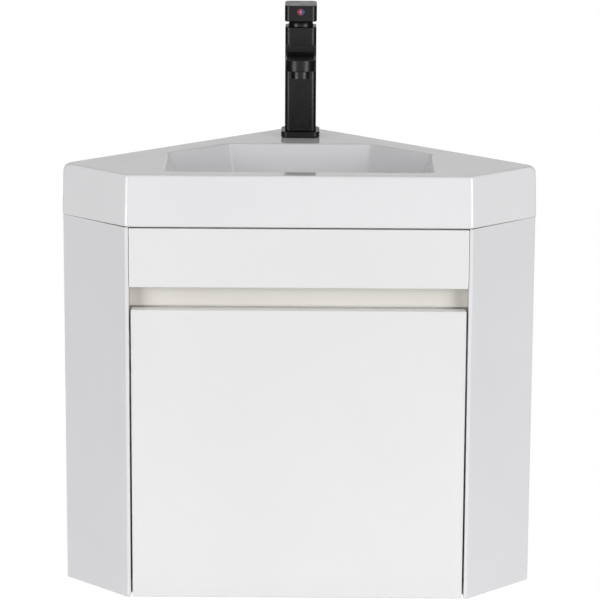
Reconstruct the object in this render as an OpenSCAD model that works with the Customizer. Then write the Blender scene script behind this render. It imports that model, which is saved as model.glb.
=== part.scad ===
// Wall-hung corner vanity unit: five-sided cabinet with one door, cast basin and single-lever mixer tap.
// The room corner is at the back, the door faces -Y, and z = 0 is the underside of the cabinet.

/* [Cabinet] */
// Length of each back face along its room wall
wall_side = 400; // [380:1:480]
// Width of each side wing, square to the room wall
wing = 111; // [95:1:140]
// Height of the cabinet without the basin
cabinet_h = 455; // [430:1:560]
// Thickness of the carcass boards
board = 16; // [15:0.5:19]
// Width of the flat nose at the front end of each side panel
nose_w = 4; // [3:0.5:6]
// Side of the square post in the room corner
post = 32; // [28:1:45]
// Height of each hanging rail
hanging_rail_h = 80; // [60:1:110]
// Height of the top edge of the lower back boards
lower_back_top = 216; // [205:1:235]
// Width of the arm that joins each lower back board to the hanging rail above it
back_arm_w = 110; // [60:1:112]
// Diameter of the wall screw holes in the hanging rails
wall_hole_d = 8; // [5:0.5:10]
// Distance of each wall screw hole from the end of its rail
wall_hole_inset = 78; // [60:1:120]

/* [Front] */
// Thickness of the door
door_t = 16; // [14:0.5:17]
// Height of the door's top edge
door_top = 355.4; // [340:0.2:360]
// Size of the finger bevel along the back of the door's top edge
door_bevel = 3; // [0.5:0.5:4]
// Height of the door's bottom edge
door_bottom = 0.5; // [0.5:0.5:4]
// Gap between the door and each side panel
door_gap = 2.2; // [1.8:0.1:3]
// Thickness of the fixed fascia above the door
fascia_t = 18; // [17.5:0.1:19]
// Height of the finger recess between the door and the fascia
recess_h = 27.1; // [22:0.1:34]
// Gap between the fascia and the basin
fascia_top_gap = 1.8; // [1:0.1:4]
// Gap between the fascia and each side panel
fascia_side_gap = 0.5; // [0.4:0.1:2]
// Overlap of the rail behind the finger recess with the door
pull_rail_lap = 30; // [12.5:0.5:34]
// Distance of that rail's top edge below the basin
pull_rail_drop = 18; // [15:1:30]

/* [Shelf] */
// Height of the shelf's underside
shelf_z = 180; // [130:1:190]
// Distance of the shelf's front edge behind the front rail's face
shelf_setback = 26; // [15:1:60]
// Distance of the shelf's back edge from the room corner
shelf_rear = 140; // [120:1:180]
// Gap round the shelf
shelf_gap = 1; // [0.5:0.1:3]
// Diameter of the shelf pins
pin_d = 5; // [4:0.5:6]
// Length of a shelf pin inside its board, and outside it
pin_reach = 8; // [6:1:11]

/* [Basin] */
// Overhang of the basin beyond the cabinet along each wall
basin_overhang = 4; // [1:0.5:10]
// Overhang of the basin beyond the door
basin_front_overhang = 2; // [0.5:0.5:10]
// Distance by which each end of the basin's front face falls short of its parallel place over the cabinet
basin_toe_in = 4.4; // [0:0.1:5]
// Lean of the basin's wings from its foot to its deck
basin_draft = 2; // [0:0.5:4]
// Height of the basin's rim
rim_h = 61.7; // [45:0.1:75]
// Radius of the basin's upright corners
basin_corner_r = 6; // [3:0.5:8]
// Wall thickness of the basin's skirt
skirt_t = 12; // [8:0.5:14]
// Thickness of the basin's deck
deck_t = 14; // [10:0.5:18]
// Wall thickness of the bowl
bowl_wall = 9; // [7:0.5:11]
// Distance of the bowl's back edge from the room corner
bowl_back = 140; // [134:1:150]
// Distance of the bowl's slanted edges from the room walls
bowl_wall_gap = 37; // [34:0.5:44]
// Half of the bowl's width
bowl_half_w = 160; // [145:1:166]
// Width of the basin's front rim
front_rim = 28.5; // [25:0.5:36]
// Depth of the bowl
bowl_depth = 110; // [100:1:118]
// Distance by which the bowl's sides draw in from deck to floor
bowl_draw_in = 34; // [28:1:38]
// Radius of the bowl's upright corners at the deck
bowl_corner_r = 13; // [6:0.5:16]
// Radius between the bowl's sides and its floor
bowl_floor_r = 20; // [16:0.5:24]

/* [Waste] */
// Distance of the waste from the room corner
waste_from_corner = 238; // [232:1:246]
// Diameter of the threaded waste tail
tail_d = 41.9; // [41:0.1:42.5]
// Wall thickness of the waste tail
tail_wall = 2.6; // [2:0.1:3.5]
// Length of the waste below the bowl's floor
tail_len = 78; // [70:1:95]
// Length of the thread at the tail's end that takes the trap's nut
tail_thread = 28; // [20:1:34]
// Diameter of the waste's rim
waste_rim_d = 63; // [58:1:66]
// Diameter of the plug's cap
plug_d = 58; // [52:1:60]
// Travel of the plug
plug_travel = 9; // [6:0.5:12]

/* [Tap] */
// Distance of the tap from the room corner
tap_from_corner = 77; // [70:1:80]
// Diameter of the tap hole in the deck
tap_hole_d = 35; // [33:0.5:37]
// Side of the square base plate
base_w = 48; // [46:0.5:56]
// Height of the base plate
base_h = 7; // [4:0.5:10]
// Radius of the base plate's upright edges
base_r = 9; // [5:0.5:12]
// Thickness of the gasket under the base plate
gasket_t = 1; // [0.5:0.1:2]
// Side of the square tap body
body_w = 38.8; // [37:0.2:42]
// Radius of the tap body's upright edges
body_r = 7; // [4:0.5:9]
// Height of the tap body's top above the deck
body_top = 138.8; // [125:0.2:160]
// Width of the spout
spout_w = 36.6; // [32:0.2:36.8]
// Thickness of the spout
spout_t = 14.2; // [12:0.2:16]
// Height of the spout's root above the deck, at the middle of its thickness
spout_z = 96.4; // [80:0.2:104]
// Reach of the spout's tip from the middle of the body
spout_reach = 95; // [85:1:115]
// Angle by which the spout rises towards its tip
spout_rise = 2.7; // [0:0.1:6]
// Radius between the spout and the front of the body
spout_root_r = 13; // [8:0.5:16]
// Diameter of the aerator
aerator_d = 24; // [22:0.2:26]
// Length of the aerator below the spout
aerator_drop = 10; // [5:0.5:12]
// Diameter of the cartridge
cartridge_d = 35; // [33:0.2:35.2]
// Radius of the round neck under the lever
neck_r = 15.4; // [14:0.1:16.4]
// Width of the lever block
lever_w = 39.7; // [37:0.1:42]
// Height of the lever block
lever_h = 20; // [18.5:0.1:24]
// Gap between the tap body and the lever
lever_gap = 8; // [7.8:0.1:10]
// Reach of the lever block in front of the tap's axis
lever_front = 28; // [24:0.5:45]
// Reach of the lever block behind the tap's axis
lever_rear = 25; // [20:0.5:25]
// Size of the bevel under the lever's back edge
lever_bevel = 6; // [5.5:0.5:8]

/* [Hinges] */
// Distance of the lower hinge from the door's bottom edge
hinge_low_inset = 87.5; // [60:0.5:110]
// Distance of the upper hinge from the door's top edge
hinge_high_inset = 77.4; // [70:0.1:100]
// Diameter of the hinge cup
cup_d = 35; // [34:0.5:35.5]
// Depth of the hinge cup
cup_depth = 11.5; // [11:0.1:12]
// Distance of the hinge cup's rim from the door's edge
cup_edge = 5; // [4:0.5:6]
// Diameter of the hinge pins
hinge_pin_d = 3; // [2.5:0.1:3.4]
// Width of the link between the hinge's cup and arm
link_w = 10; // [8:0.5:11]
// Thickness of the link
link_t = 2.4; // [2:0.1:3]

/* [Hidden] */

$fn = 48;
// Overshoot of a cut past the face that it opens
eps = 1;
// Clearance between a turning or sliding piece and its seat
run_gap = 0.05;
// Clearance round a piece that is pushed or screwed into a hole
seat_gap = 0.1;

root2 = sqrt(2);
inner = wall_side - board;
cabinet_depth = (wall_side + wing) / root2;
basin_depth = cabinet_depth + basin_front_overhang;
basin_side = wall_side + basin_overhang;
// The origin lies under the middle of the whole outline, so the room corner is this far behind it
corner_y = basin_depth / 2;
front_y = corner_y - cabinet_depth;
front_half = (wall_side - wing) / root2;
fascia_bottom = door_top + recess_h;
pull_rail_bottom = door_top - pull_rail_lap;
pull_rail_top = cabinet_h - pull_rail_drop;
hinge_low_z = door_bottom + hinge_low_inset;
hinge_high_z = door_top - hinge_high_inset;
nose_x = front_half - nose_w;
door_half = nose_x - door_gap;
rail_y = front_y + fascia_t;
rail_back_y = rail_y + board;
deck_z = cabinet_h + rim_h;
bowl_floor_z = deck_z - bowl_depth;
waste_y = corner_y - waste_from_corner;
tap_y = corner_y - tap_from_corner;

carcass_colour = "white";
steel_colour = "silver";
tap_colour = "dimgray";

// Half width between the side panels' inner faces, moved in by a gap, at a given y
function inner_x(y, gap = 0) = root2 * (inner - gap) + y - corner_y;

// Point at a distance along the right wall and at an offset from it, negative into the room
function wall_pt(along, off = 0) = [(along + off) / root2, corner_y + (off - along) / root2];

// A list of points followed by its mirror image across the middle of the unit, in reverse order
function both_sides(pts) =
    concat(pts, [for (i = [len(pts) - 1:-1:0]) if (pts[i][0] > 0) [-pts[i][0], pts[i][1]]]);

function unit(v) = v / norm(v);

// Points of the arc of radius r that rounds corner b between a and c
function corner_arc(a, b, c, r, steps) =
    let (
        u = unit(a - b), v = unit(c - b),
        half = acos(u * v) / 2,
        centre = b + unit(u + v) * r / sin(half),
        p0 = b + u * r / tan(half),
        p1 = b + v * r / tan(half),
        a0 = atan2(p0[1] - centre[1], p0[0] - centre[0]),
        turn = atan2(p1[1] - centre[1], p1[0] - centre[0]) - a0,
        sweep = turn > 180 ? turn - 360 : turn < -180 ? turn + 360 : turn
    )
    [for (i = [0:steps]) centre + r * [cos(a0 + sweep * i / steps), sin(a0 + sweep * i / steps)]];

// Outline with every corner rounded to radius r
function rounded(pts, r, steps = 6) =
    let (n = len(pts))
    [for (i = [0:n - 1]) each corner_arc(pts[(i + n - 1) % n], pts[i], pts[(i + 1) % n], r, steps)];

function square_pts(w) = [[w / 2, w / 2], [-w / 2, w / 2], [-w / 2, -w / 2], [w / 2, -w / 2]];

// Repeats its children on the right (1) or the left (-1) half of the unit
module on_side(s) {
    if (s > 0) children();
    else mirror([1, 0, 0]) children();
}

// Frame of the wall on side s: x runs out along the wall, y runs into the wall, z up
module on_wall(s) {
    on_side(s) translate([0, corner_y, 0]) rotate(-45) children();
}

// Cylinder between z = z0 and z = z1
module rod(d, z0, z1) {
    translate([0, 0, z0]) cylinder(d = d, h = z1 - z0);
}

// ---- Carcass -------------------------------------------------------------------------------------

// Distance of a cam lock's middle from the joint that it draws together
cam_reach = 34;
cam_d = 15;
cam_h = 12.5;
bolt_d = 6;
bolt_grip = 11;
dowel_d = 8;
dowel_out = 15;
dowel_in = 11;
rail_end_inset = 25;
bottom_cam_off = [-28, -84];
bottom_dowel_off = -56;
rail_mid_z = [cabinet_h - hanging_rail_h / 2, (board + lower_back_top) / 2];

// One joint along +x at x = 0: the lock lies in the board at x < 0, its bolt is screwed into the board at x > 0
module cam_bolt_shape(grow = 0) {
    rotate([0, 90, 0]) rod(bolt_d + 2 * grow, cam_d / 2 - cam_reach + seat_gap - grow, bolt_grip + grow);
}

module dowel_shape(grow = 0) {
    rotate([0, 90, 0]) rod(dowel_d + 2 * grow, -dowel_out - grow, dowel_in + grow);
}

// Lock housing at x = 0 whose open face looks along +y at y = 0
module cam_lock_shape(grow = 0) {
    rotate([90, 0, 0]) rod(cam_d - 2 * seat_gap + 2 * grow, -grow, cam_h + grow);
}

// Places a joint of the back boards: at their side panel end (1) or their post end (-1)
module board_joint(end, z) {
    translate([end > 0 ? inner : post, -board / 2, z]) mirror([end > 0 ? 0 : 1, 0, 0]) children();
}

// Places a joint between the bottom panel and a side panel
module bottom_joint(off) {
    translate([inner, off, board / 2]) children();
}

module board_bolts(grow) {
    for (end = [-1, 1], z = rail_mid_z) board_joint(end, z) cam_bolt_shape(grow);
    for (off = bottom_cam_off) bottom_joint(off) cam_bolt_shape(grow);
}

module board_dowels(grow) {
    for (end = [-1, 1], z = rail_mid_z, dz = [-rail_end_inset, rail_end_inset])
        board_joint(end, z + dz) dowel_shape(grow);
    bottom_joint(bottom_dowel_off) dowel_shape(grow);
}

// Locks open towards the inside of the unit in the back boards, and downwards in the bottom panel
module board_locks(grow) {
    for (end = [-1, 1], z = rail_mid_z)
        board_joint(end, z) translate([-cam_reach, -board / 2, 0]) mirror([0, 1, 0]) cam_lock_shape(grow);
    for (off = bottom_cam_off)
        bottom_joint(off) translate([-cam_reach, 0, -board / 2]) rotate([-90, 0, 0]) cam_lock_shape(grow);
}

module joint_cuts(s) {
    on_wall(s) {
        board_bolts(run_gap);
        board_dowels(run_gap);
        board_locks(seat_gap);
    }
}

notch_y = nose_x - root2 * inner + corner_y;
side_plan = [
    wall_pt(wall_side), wall_pt(wall_side, -wing), [nose_x, front_y], [nose_x, notch_y], wall_pt(inner)
];

// Pin places: on each side panel as offsets from the wall, on each lower back board as a distance along it
side_pin_off = [-40, -84];
back_pin_along = 212;
pin_z = shelf_z - pin_d / 2 - run_gap;

// A shelf pin along +x from its board's face at x = 0: the peg in the hole, and its longer free end
module shelf_pin_shape(grow = 0) {
    rotate([0, -90, 0]) rod(pin_d + 2 * grow, -pin_reach - grow, pin_reach);
}

module place_shelf_pins() {
    for (off = side_pin_off) translate([inner, off, pin_z]) children();
    translate([back_pin_along, -board, pin_z]) rotate(90) children();
}

module side_panel(s) {
    color(carcass_colour) difference() {
        on_side(s) linear_extrude(cabinet_h) polygon(side_plan);
        joint_cuts(s);
        on_wall(s) place_shelf_pins() shelf_pin_shape(run_gap);
        bracket_holes(s);
        plate_screw_holes(s);
    }
}
module side_panel_left() { side_panel(-1); }
module side_panel_right() { side_panel(1); }

// Five-sided floor between the side panels, whose front edge lies behind the door
module bottom_panel() {
    color(carcass_colour) difference() {
        linear_extrude(board)
            polygon(both_sides([wall_pt(0), wall_pt(inner), [inner_x(rail_y), rail_y]]));
        for (s = [-1, 1]) joint_cuts(s);
    }
}

// Square post in the room corner, on which both pairs of back boards end
module corner_post() {
    color(carcass_colour) difference() {
        translate([0, corner_y, board]) rotate(-45) translate([0, -post, 0]) cube([post, post, cabinet_h - board]);
        for (s = [-1, 1]) joint_cuts(s);
    }
}

// Board along a room wall between the post and the side panel
module back_board(s, z0, z1) {
    difference() {
        on_wall(s) translate([post, -board, z0]) cube([inner - post, board, z1 - z0]);
        joint_cuts(s);
    }
}

module hanging_rail(s) {
    color(carcass_colour) difference() {
        back_board(s, cabinet_h - hanging_rail_h, cabinet_h);
        on_wall(s) for (x = [post + wall_hole_inset, inner - wall_hole_inset])
            translate([x, 0, rail_mid_z[0]]) rotate([90, 0, 0]) rod(wall_hole_d, -eps, board + eps);
    }
}
module hanging_rail_left() { hanging_rail(-1); }
module hanging_rail_right() { hanging_rail(1); }

// L-shaped board that leaves the wall open to the pipes beside the corner post
module lower_back(s) {
    color(carcass_colour) difference() {
        union() {
            back_board(s, board, lower_back_top);
            on_wall(s) translate([inner - back_arm_w, -board, lower_back_top])
                cube([back_arm_w, board, cabinet_h - hanging_rail_h - lower_back_top]);
        }
        on_wall(s) place_shelf_pins() shelf_pin_shape(run_gap);
    }
}
module lower_back_left() { lower_back(-1); }
module lower_back_right() { lower_back(1); }

// Upright rail behind the finger recess, mitred to the side panels
module pull_rail() {
    ends = [[inner_x(rail_back_y), rail_back_y], [inner_x(rail_y), rail_y]];
    color(carcass_colour) difference() {
        translate([0, 0, pull_rail_bottom]) linear_extrude(pull_rail_top - pull_rail_bottom)
            polygon(both_sides(ends));
        place_fascia_screws() fascia_screw_shape(run_gap);
        for (s = [-1, 1]) bracket_holes(s);
    }
}

module fascia() {
    color(carcass_colour) difference() {
        translate([fascia_side_gap - nose_x, front_y, fascia_bottom])
            cube([2 * (nose_x - fascia_side_gap), fascia_t, cabinet_h - fascia_top_gap - fascia_bottom]);
        place_fascia_screws() fascia_screw_shape(run_gap);
    }
}

// Wood screw along +y with its head's underside at y = 0
screw_d = 3.5;
screw_head_d = 7;
screw_head_h = 2.2;
module wood_screw(len, grow = 0) {
    rotate([-90, 0, 0]) {
        rod(screw_d + 2 * grow, 0, len + grow);
        rod(screw_head_d, -screw_head_h, 0);
    }
}

fascia_screw_bite = 13;
fascia_screw_len = board + fascia_screw_bite;
fascia_screw_x = [-150, -50, 50, 150];
module fascia_screw_shape(grow = 0) { mirror([0, 1, 0]) wood_screw(fascia_screw_len, grow); }
module place_fascia_screws() {
    for (x = fascia_screw_x) translate([x, rail_back_y, (fascia_bottom + pull_rail_top) / 2]) children();
}
module fascia_screws() { color(steel_colour) place_fascia_screws() fascia_screw_shape(); }

// Bent steel plate in the blunt corner between the front rail and a side panel
bracket_t = 2;
bracket_leg = 28;
bracket_h = 60;
bracket_z = (pull_rail_bottom + pull_rail_top - bracket_h) / 2;
bracket_screw_in = 19;
bracket_screw_z = [15, 45];
bracket_screw_len = 14;

module rail_brackets() {
    foot = inner_x(rail_back_y);
    along = [1, 1] / root2;
    plan = [
        [foot - bracket_leg, rail_back_y], [foot, rail_back_y],
        [foot, rail_back_y] + bracket_leg * along,
        [foot, rail_back_y] + bracket_leg * along + bracket_t * [-1, 1] / root2,
        [inner_x(rail_back_y + bracket_t, bracket_t), rail_back_y + bracket_t],
        [foot - bracket_leg, rail_back_y + bracket_t]
    ];
    color(steel_colour) for (s = [-1, 1]) difference() {
        on_side(s) translate([0, 0, bracket_z]) linear_extrude(bracket_h) polygon(plan);
        bracket_holes(s);
    }
}

// Screws of one bracket: through its short leg into the rail, and through the other into the side panel
module place_bracket_screws(s) {
    foot = inner_x(rail_back_y);
    on_side(s) for (z = bracket_screw_z) {
        translate([foot - bracket_screw_in, rail_back_y + bracket_t, bracket_z + z]) mirror([0, 1, 0]) children();
        translate([foot, rail_back_y, bracket_z + z]) rotate(45)
            translate([bracket_screw_in, bracket_t, 0]) mirror([0, 1, 0]) children();
    }
}
module bracket_holes(s) { place_bracket_screws(s) wood_screw(bracket_screw_len, run_gap); }
module bracket_screws() {
    color(steel_colour) for (s = [-1, 1]) place_bracket_screws(s) wood_screw(bracket_screw_len);
}

// Loose shelf on six pins, cut off at the back to leave room for the pipes in the corner
module shelf() {
    shelf_y = rail_y + shelf_setback;
    rear_y = corner_y - shelf_rear;
    back_off = -board - shelf_gap;
    plan = [
        [root2 * back_off + corner_y - rear_y, rear_y],
        wall_pt(inner - shelf_gap, back_off),
        [inner_x(shelf_y, shelf_gap), shelf_y]
    ];
    color(carcass_colour) translate([0, 0, shelf_z]) linear_extrude(board) polygon(both_sides(plan));
}

module shelf_pins() {
    color(steel_colour) for (s = [-1, 1]) on_wall(s) place_shelf_pins() shelf_pin_shape();
}

module cam_locks() {
    color(steel_colour) for (s = [-1, 1]) difference() {
        on_wall(s) board_locks(0);
        cam_drives(s);
    }
}

// Slot for a screwdriver in the open face of every lock
cam_slot = [8, 1.6, 3];
module cam_slot_shape() {
    translate([-cam_slot[0] / 2, -cam_slot[2], -cam_slot[1] / 2]) cube([cam_slot[0], cam_slot[2] + eps, cam_slot[1]]);
}
module cam_drives(s) {
    on_wall(s) {
        for (end = [-1, 1], z = rail_mid_z)
            board_joint(end, z) translate([-cam_reach, -board / 2, 0]) mirror([0, 1, 0]) cam_slot_shape();
        for (off = bottom_cam_off)
            bottom_joint(off) translate([-cam_reach, 0, -board / 2]) rotate([-90, 0, 0]) cam_slot_shape();
    }
}

module cam_bolts() { color(steel_colour) for (s = [-1, 1]) on_wall(s) board_bolts(0); }
module dowels() { color("burlywood") for (s = [-1, 1]) on_wall(s) board_dowels(0); }

// ---- Door and hinges -----------------------------------------------------------------------------

// Hinge frame: x runs right from the door's left edge, y runs back from the door's face
hinge_z = [hinge_low_z, hinge_high_z];
// Pivots of the link on the arm and on the cup, and the link's bend between them
arm_pivot = [42.6, 28.5];
cup_pivot = [15, 14.4];
link_bend = [24, 12.5];
cup_flange = [28, 1.2, 56];
cup_screw_z = 22.5;
cup_screw_len = 12;
eye_r = hinge_pin_d / 2 + 1.5;
cheek_t = 1.7;
cheek_gap = 0.4;
arm_web = 8;
bend_swell = 0.8;

module at_hinge(z) { translate([-door_half, front_y, z]) children(); }
cup_middle = cup_edge + cup_d / 2;

// Plan of a straight band between two points
module band(p, q, t) {
    d = q - p;
    translate(p) rotate(atan2(d[1], d[0])) translate([0, -t / 2]) square([norm(d), t]);
}

// Extrusion of height h, centred on z = 0
module slab(h) { translate([0, 0, -h / 2]) linear_extrude(h) children(); }

module door() {
    color(carcass_colour) difference() {
        translate([-door_half, front_y, door_bottom]) cube([2 * door_half, door_t, door_top - door_bottom]);
        translate([-door_half - eps, front_y + door_t, door_top - door_bevel]) rotate([45, 0, 0])
            cube([2 * (door_half + eps), 2 * door_bevel, 2 * door_bevel]);
        for (z = hinge_z) at_hinge(z) {
            translate([cup_middle, door_t, 0]) rotate([90, 0, 0]) rod(cup_d, -eps, cup_depth + seat_gap);
            place_cup_screws() wood_screw(cup_screw_len, run_gap);
        }
    }
}

// Soft stops on the rail and the floor behind the door's free edge
bumper_d = 9;
bumper_x = 172;
bumper_drop = 8;
bumper_clear = 0.3;
module door_bumpers() {
    reach = fascia_t - door_t - bumper_clear;
    color("gainsboro") for (z = [door_top - bumper_drop, board / 2])
        translate([bumper_x, rail_y, z]) rotate([90, 0, 0]) rod(bumper_d, 0, reach);
}

module place_cup_screws() {
    for (dz = [-cup_screw_z, cup_screw_z])
        translate([cup_middle, door_t + cup_flange[1], dz]) mirror([0, 1, 0]) children();
}

// Pressed cup with its flange on the door's back and the pin on which the link turns
module hinge_cup(z) {
    room_w = link_w + 1;
    color(steel_colour) at_hinge(z) {
        difference() {
            union() {
                translate([cup_middle, door_t, 0]) rotate([90, 0, 0]) rod(cup_d - 2 * seat_gap, 0, cup_depth);
                translate([cup_middle - cup_flange[0] / 2, door_t, -cup_flange[2] / 2]) cube(cup_flange);
            }
            intersection() {
                translate([cup_middle, door_t, 0]) rotate([90, 0, 0])
                    rod(cup_d - 2, -cup_flange[1] - eps, cup_depth - 1);
                translate([cup_edge, 0, -room_w / 2]) cube([cup_d, door_t + cup_flange[1] + eps, room_w]);
            }
            place_cup_screws() rotate([-90, 0, 0]) rod(screw_d + 2 * run_gap, -eps, cup_flange[1] + eps);
        }
        translate(cup_pivot) rod(hinge_pin_d, -room_w / 2, room_w / 2);
    }
}
module hinge_cup_lower() { hinge_cup(hinge_low_z); }
module hinge_cup_upper() { hinge_cup(hinge_high_z); }
module hinge_cup_screws() {
    color(steel_colour) for (z = hinge_z) at_hinge(z) place_cup_screws() wood_screw(cup_screw_len);
}

// Cranked link with an eye at each end
module hinge_link(z) {
    color(steel_colour) at_hinge(z) slab(link_w) difference() {
        union() {
            band(arm_pivot, link_bend, link_t);
            band(link_bend, cup_pivot, link_t);
            for (p = [arm_pivot, cup_pivot]) translate(p) circle(r = eye_r);
            translate(link_bend) circle(d = link_t + bend_swell);
        }
        for (p = [arm_pivot, cup_pivot]) translate(p) circle(d = hinge_pin_d + 2 * run_gap);
    }
}
module hinge_link_lower() { hinge_link(hinge_low_z); }
module hinge_link_upper() { hinge_link(hinge_high_z); }

// Place on a side panel's inner face in the hinge frame: distance back from the notch, and height off the face
plate_size = [44, 8, 50];
plate_start = 9;
arm_t = 5;
plate_screw_edge = 8;
plate_screw_in = [plate_start + plate_screw_edge, plate_start + plate_size[0] - plate_screw_edge];
plate_screw_z = 18;
plate_screw_len = 14;
module on_left_face(z) {
    translate([-nose_x, notch_y, z]) rotate(135) mirror([0, 1, 0]) children();
}
function left_face_pt(t, n) =
    [door_half - nose_x + (n - t) / root2, notch_y - front_y + (n + t) / root2];

// Arm on the mounting plate, with two cheeks that hold the link's pin
module hinge_arm(z) {
    cheek_w = link_w + 2 * cheek_gap + 2 * cheek_t;
    root_off = plate_size[1] + arm_t / 2;
    root = left_face_pt(plate_start + 1, root_off);
    color(steel_colour) {
        at_hinge(z) difference() {
            slab(cheek_w) {
                band(root, left_face_pt(plate_start + plate_size[0] - 3, root_off), arm_t);
                band(root, arm_pivot, arm_t - 0.6);
                translate(root) circle(d = arm_t - 0.8);
                translate(arm_pivot) circle(r = eye_r);
            }
            slab(link_w + 2 * cheek_gap) band(root + [arm_web, 0], arm_pivot + [eye_r + eps, 0], 4 * eye_r);
        }
        at_hinge(z) translate(arm_pivot) rod(hinge_pin_d, eps - cheek_w / 2, cheek_w / 2 - eps);
    }
}
module hinge_arm_lower() { hinge_arm(hinge_low_z); }
module hinge_arm_upper() { hinge_arm(hinge_high_z); }

module hinge_plate(z) {
    color(steel_colour) difference() {
        on_left_face(z) translate([plate_start, 0, -plate_size[2] / 2]) cube(plate_size);
        place_plate_screws(z) rotate([-90, 0, 0]) {
            rod(screw_d + 2 * run_gap, -plate_size[1] - eps, eps);
            rod(screw_head_d + 0.4, -plate_size[1] - eps, -screw_seat);
        }
    }
}
module hinge_plate_lower() { hinge_plate(hinge_low_z); }
module hinge_plate_upper() { hinge_plate(hinge_high_z); }

// Depth of plate left under each screw head
screw_seat = 4;
module place_plate_screws(z) {
    on_left_face(z) for (t = plate_screw_in, dz = [-plate_screw_z, plate_screw_z])
        translate([t, 0, dz]) mirror([0, 1, 0]) children();
}
module plate_screw_shape(grow = 0) {
    translate([0, -screw_seat, 0]) wood_screw(plate_screw_len, grow);
}
module plate_screw_holes(s) {
    if (s < 0) for (z = hinge_z) place_plate_screws(z) plate_screw_shape(run_gap);
}
module hinge_plate_screws() {
    color(steel_colour) for (z = hinge_z) place_plate_screws(z) plate_screw_shape();
}

// ---- Basin ---------------------------------------------------------------------------------------

basin_front_y = front_y - basin_front_overhang;
basin_plan = both_sides([
    wall_pt(0), wall_pt(basin_side), [root2 * basin_side + basin_front_y - corner_y - basin_toe_in, basin_front_y]
]);

// Corners of the bowl's plan, drawn in by a distance
function bowl_plan(in = 0) =
    let (
        back = bowl_back + in,
        slant = root2 * (bowl_wall_gap + in),
        side = bowl_half_w - in,
        front = basin_front_y + front_rim + in
    )
    both_sides([[back - slant, corner_y - back], [side, corner_y - side - slant], [side, front]]);

// Bowl-shaped solid from its floor to just above the deck, grown by the wall's thickness
module bowl_solid(grow, top) {
    floor_in = bowl_draw_in + bowl_floor_r;
    hull() {
        for (p = bowl_plan(bowl_corner_r)) translate([p[0], p[1], top - eps])
            cylinder(r = bowl_corner_r + grow, h = eps, $fn = 32);
        for (p = bowl_plan(floor_in)) translate([p[0], p[1], bowl_floor_z + bowl_floor_r])
            sphere(r = bowl_floor_r + grow, $fn = 32);
        for (p = bowl_plan(floor_in)) translate([p[0], p[1], bowl_floor_z - grow])
            cylinder(r = bowl_floor_r / 4, h = eps, $fn = 32);
    }
}

waste_hole_d = tail_d + 4;
module basin() {
    color("white") difference() {
        union() {
            difference() {
                translate([0, corner_y, cabinet_h])
                    linear_extrude(rim_h, scale = 1 - basin_draft / basin_side) translate([0, -corner_y])
                        polygon(rounded(basin_plan, basin_corner_r));
                translate([0, 0, cabinet_h - eps]) linear_extrude(rim_h - deck_t + eps)
                    offset(delta = -skirt_t) polygon(basin_plan);
            }
            bowl_solid(bowl_wall, deck_z - eps);
        }
        bowl_solid(0, deck_z + eps);
        translate([0, waste_y, 0]) rod(waste_hole_d, bowl_floor_z - bowl_wall - eps, bowl_floor_z + eps);
        translate([0, tap_y, 0]) rod(tap_hole_d, deck_z - deck_t - eps, deck_z + eps);
    }
}

// ---- Waste ---------------------------------------------------------------------------------------

waste_rim_h = 3;
washer_t = 4;
nut_h = 12;
waste_nut_d = waste_rim_d + 2;
waste_seal_d = waste_rim_d - 4;
guide_d = 12;
plug_stem_d = 8;
tail_bore = tail_d - 2 * tail_wall;
floor_under_z = bowl_floor_z - bowl_wall;
seal_t = 0.8;

module at_waste() { translate([0, waste_y, 0]) children(); }

// Run-out groove between the tail's two threads
groove_w = 2;
groove_depth = 0.9;
tail_end_z = bowl_floor_z - tail_len;

// Turned waste with its rim on the bowl's floor and a threaded tail below
module waste_body() {
    color("silver") at_waste() difference() {
        union() {
            rod(waste_rim_d, bowl_floor_z + seal_t, bowl_floor_z + seal_t + waste_rim_h);
            rod(tail_d, tail_end_z, bowl_floor_z + seal_t + waste_rim_h);
        }
        rod(tail_bore, tail_end_z - eps, bowl_floor_z + waste_rim_h + seal_t + eps);
        difference() {
            rod(tail_d + 2 * eps, tail_end_z + tail_thread, tail_end_z + tail_thread + groove_w);
            rod(tail_d - 2 * groove_depth, tail_end_z + tail_thread - eps, tail_end_z + tail_thread + groove_w + eps);
        }
    }
}

module waste_seal() {
    color("dimgray") at_waste() difference() {
        rod(waste_seal_d, bowl_floor_z, bowl_floor_z + seal_t);
        rod(tail_d + 2 * seat_gap, bowl_floor_z - eps, bowl_floor_z + seal_t + eps);
    }
}

module waste_washer() {
    color("dimgray") at_waste() difference() {
        rod(waste_rim_d, floor_under_z - washer_t, floor_under_z);
        rod(tail_d + 2 * seat_gap, floor_under_z - washer_t - eps, floor_under_z + eps);
    }
}

// Six-sided back nut
module waste_nut() {
    top = floor_under_z - washer_t;
    color("whitesmoke") at_waste() difference() {
        translate([0, 0, top - nut_h]) cylinder(d = waste_nut_d, h = nut_h, $fn = 6);
        rod(tail_d + 2 * seat_gap, top - nut_h - eps, top + eps);
    }
}

// Cross with a guide tube, clamped inside the tail
guide_drop = 34;
guide_web = [3, 6];
guide_z = bowl_floor_z - guide_drop;
guide_h = 16;
module waste_guide() {
    color("whitesmoke") at_waste() difference() {
        union() {
            rod(guide_d, guide_z, guide_z + guide_h);
            intersection() {
                rod(tail_bore - 2 * seat_gap, guide_z, guide_z + guide_web[1]);
                for (a = [0, 90]) rotate(a) translate([-tail_bore, -guide_web[0] / 2, guide_z])
                    cube([2 * tail_bore, guide_web[0], guide_web[1]]);
            }
        }
        rod(plug_stem_d + 2 * run_gap, guide_z - eps, guide_z + guide_h + eps);
    }
}

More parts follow.
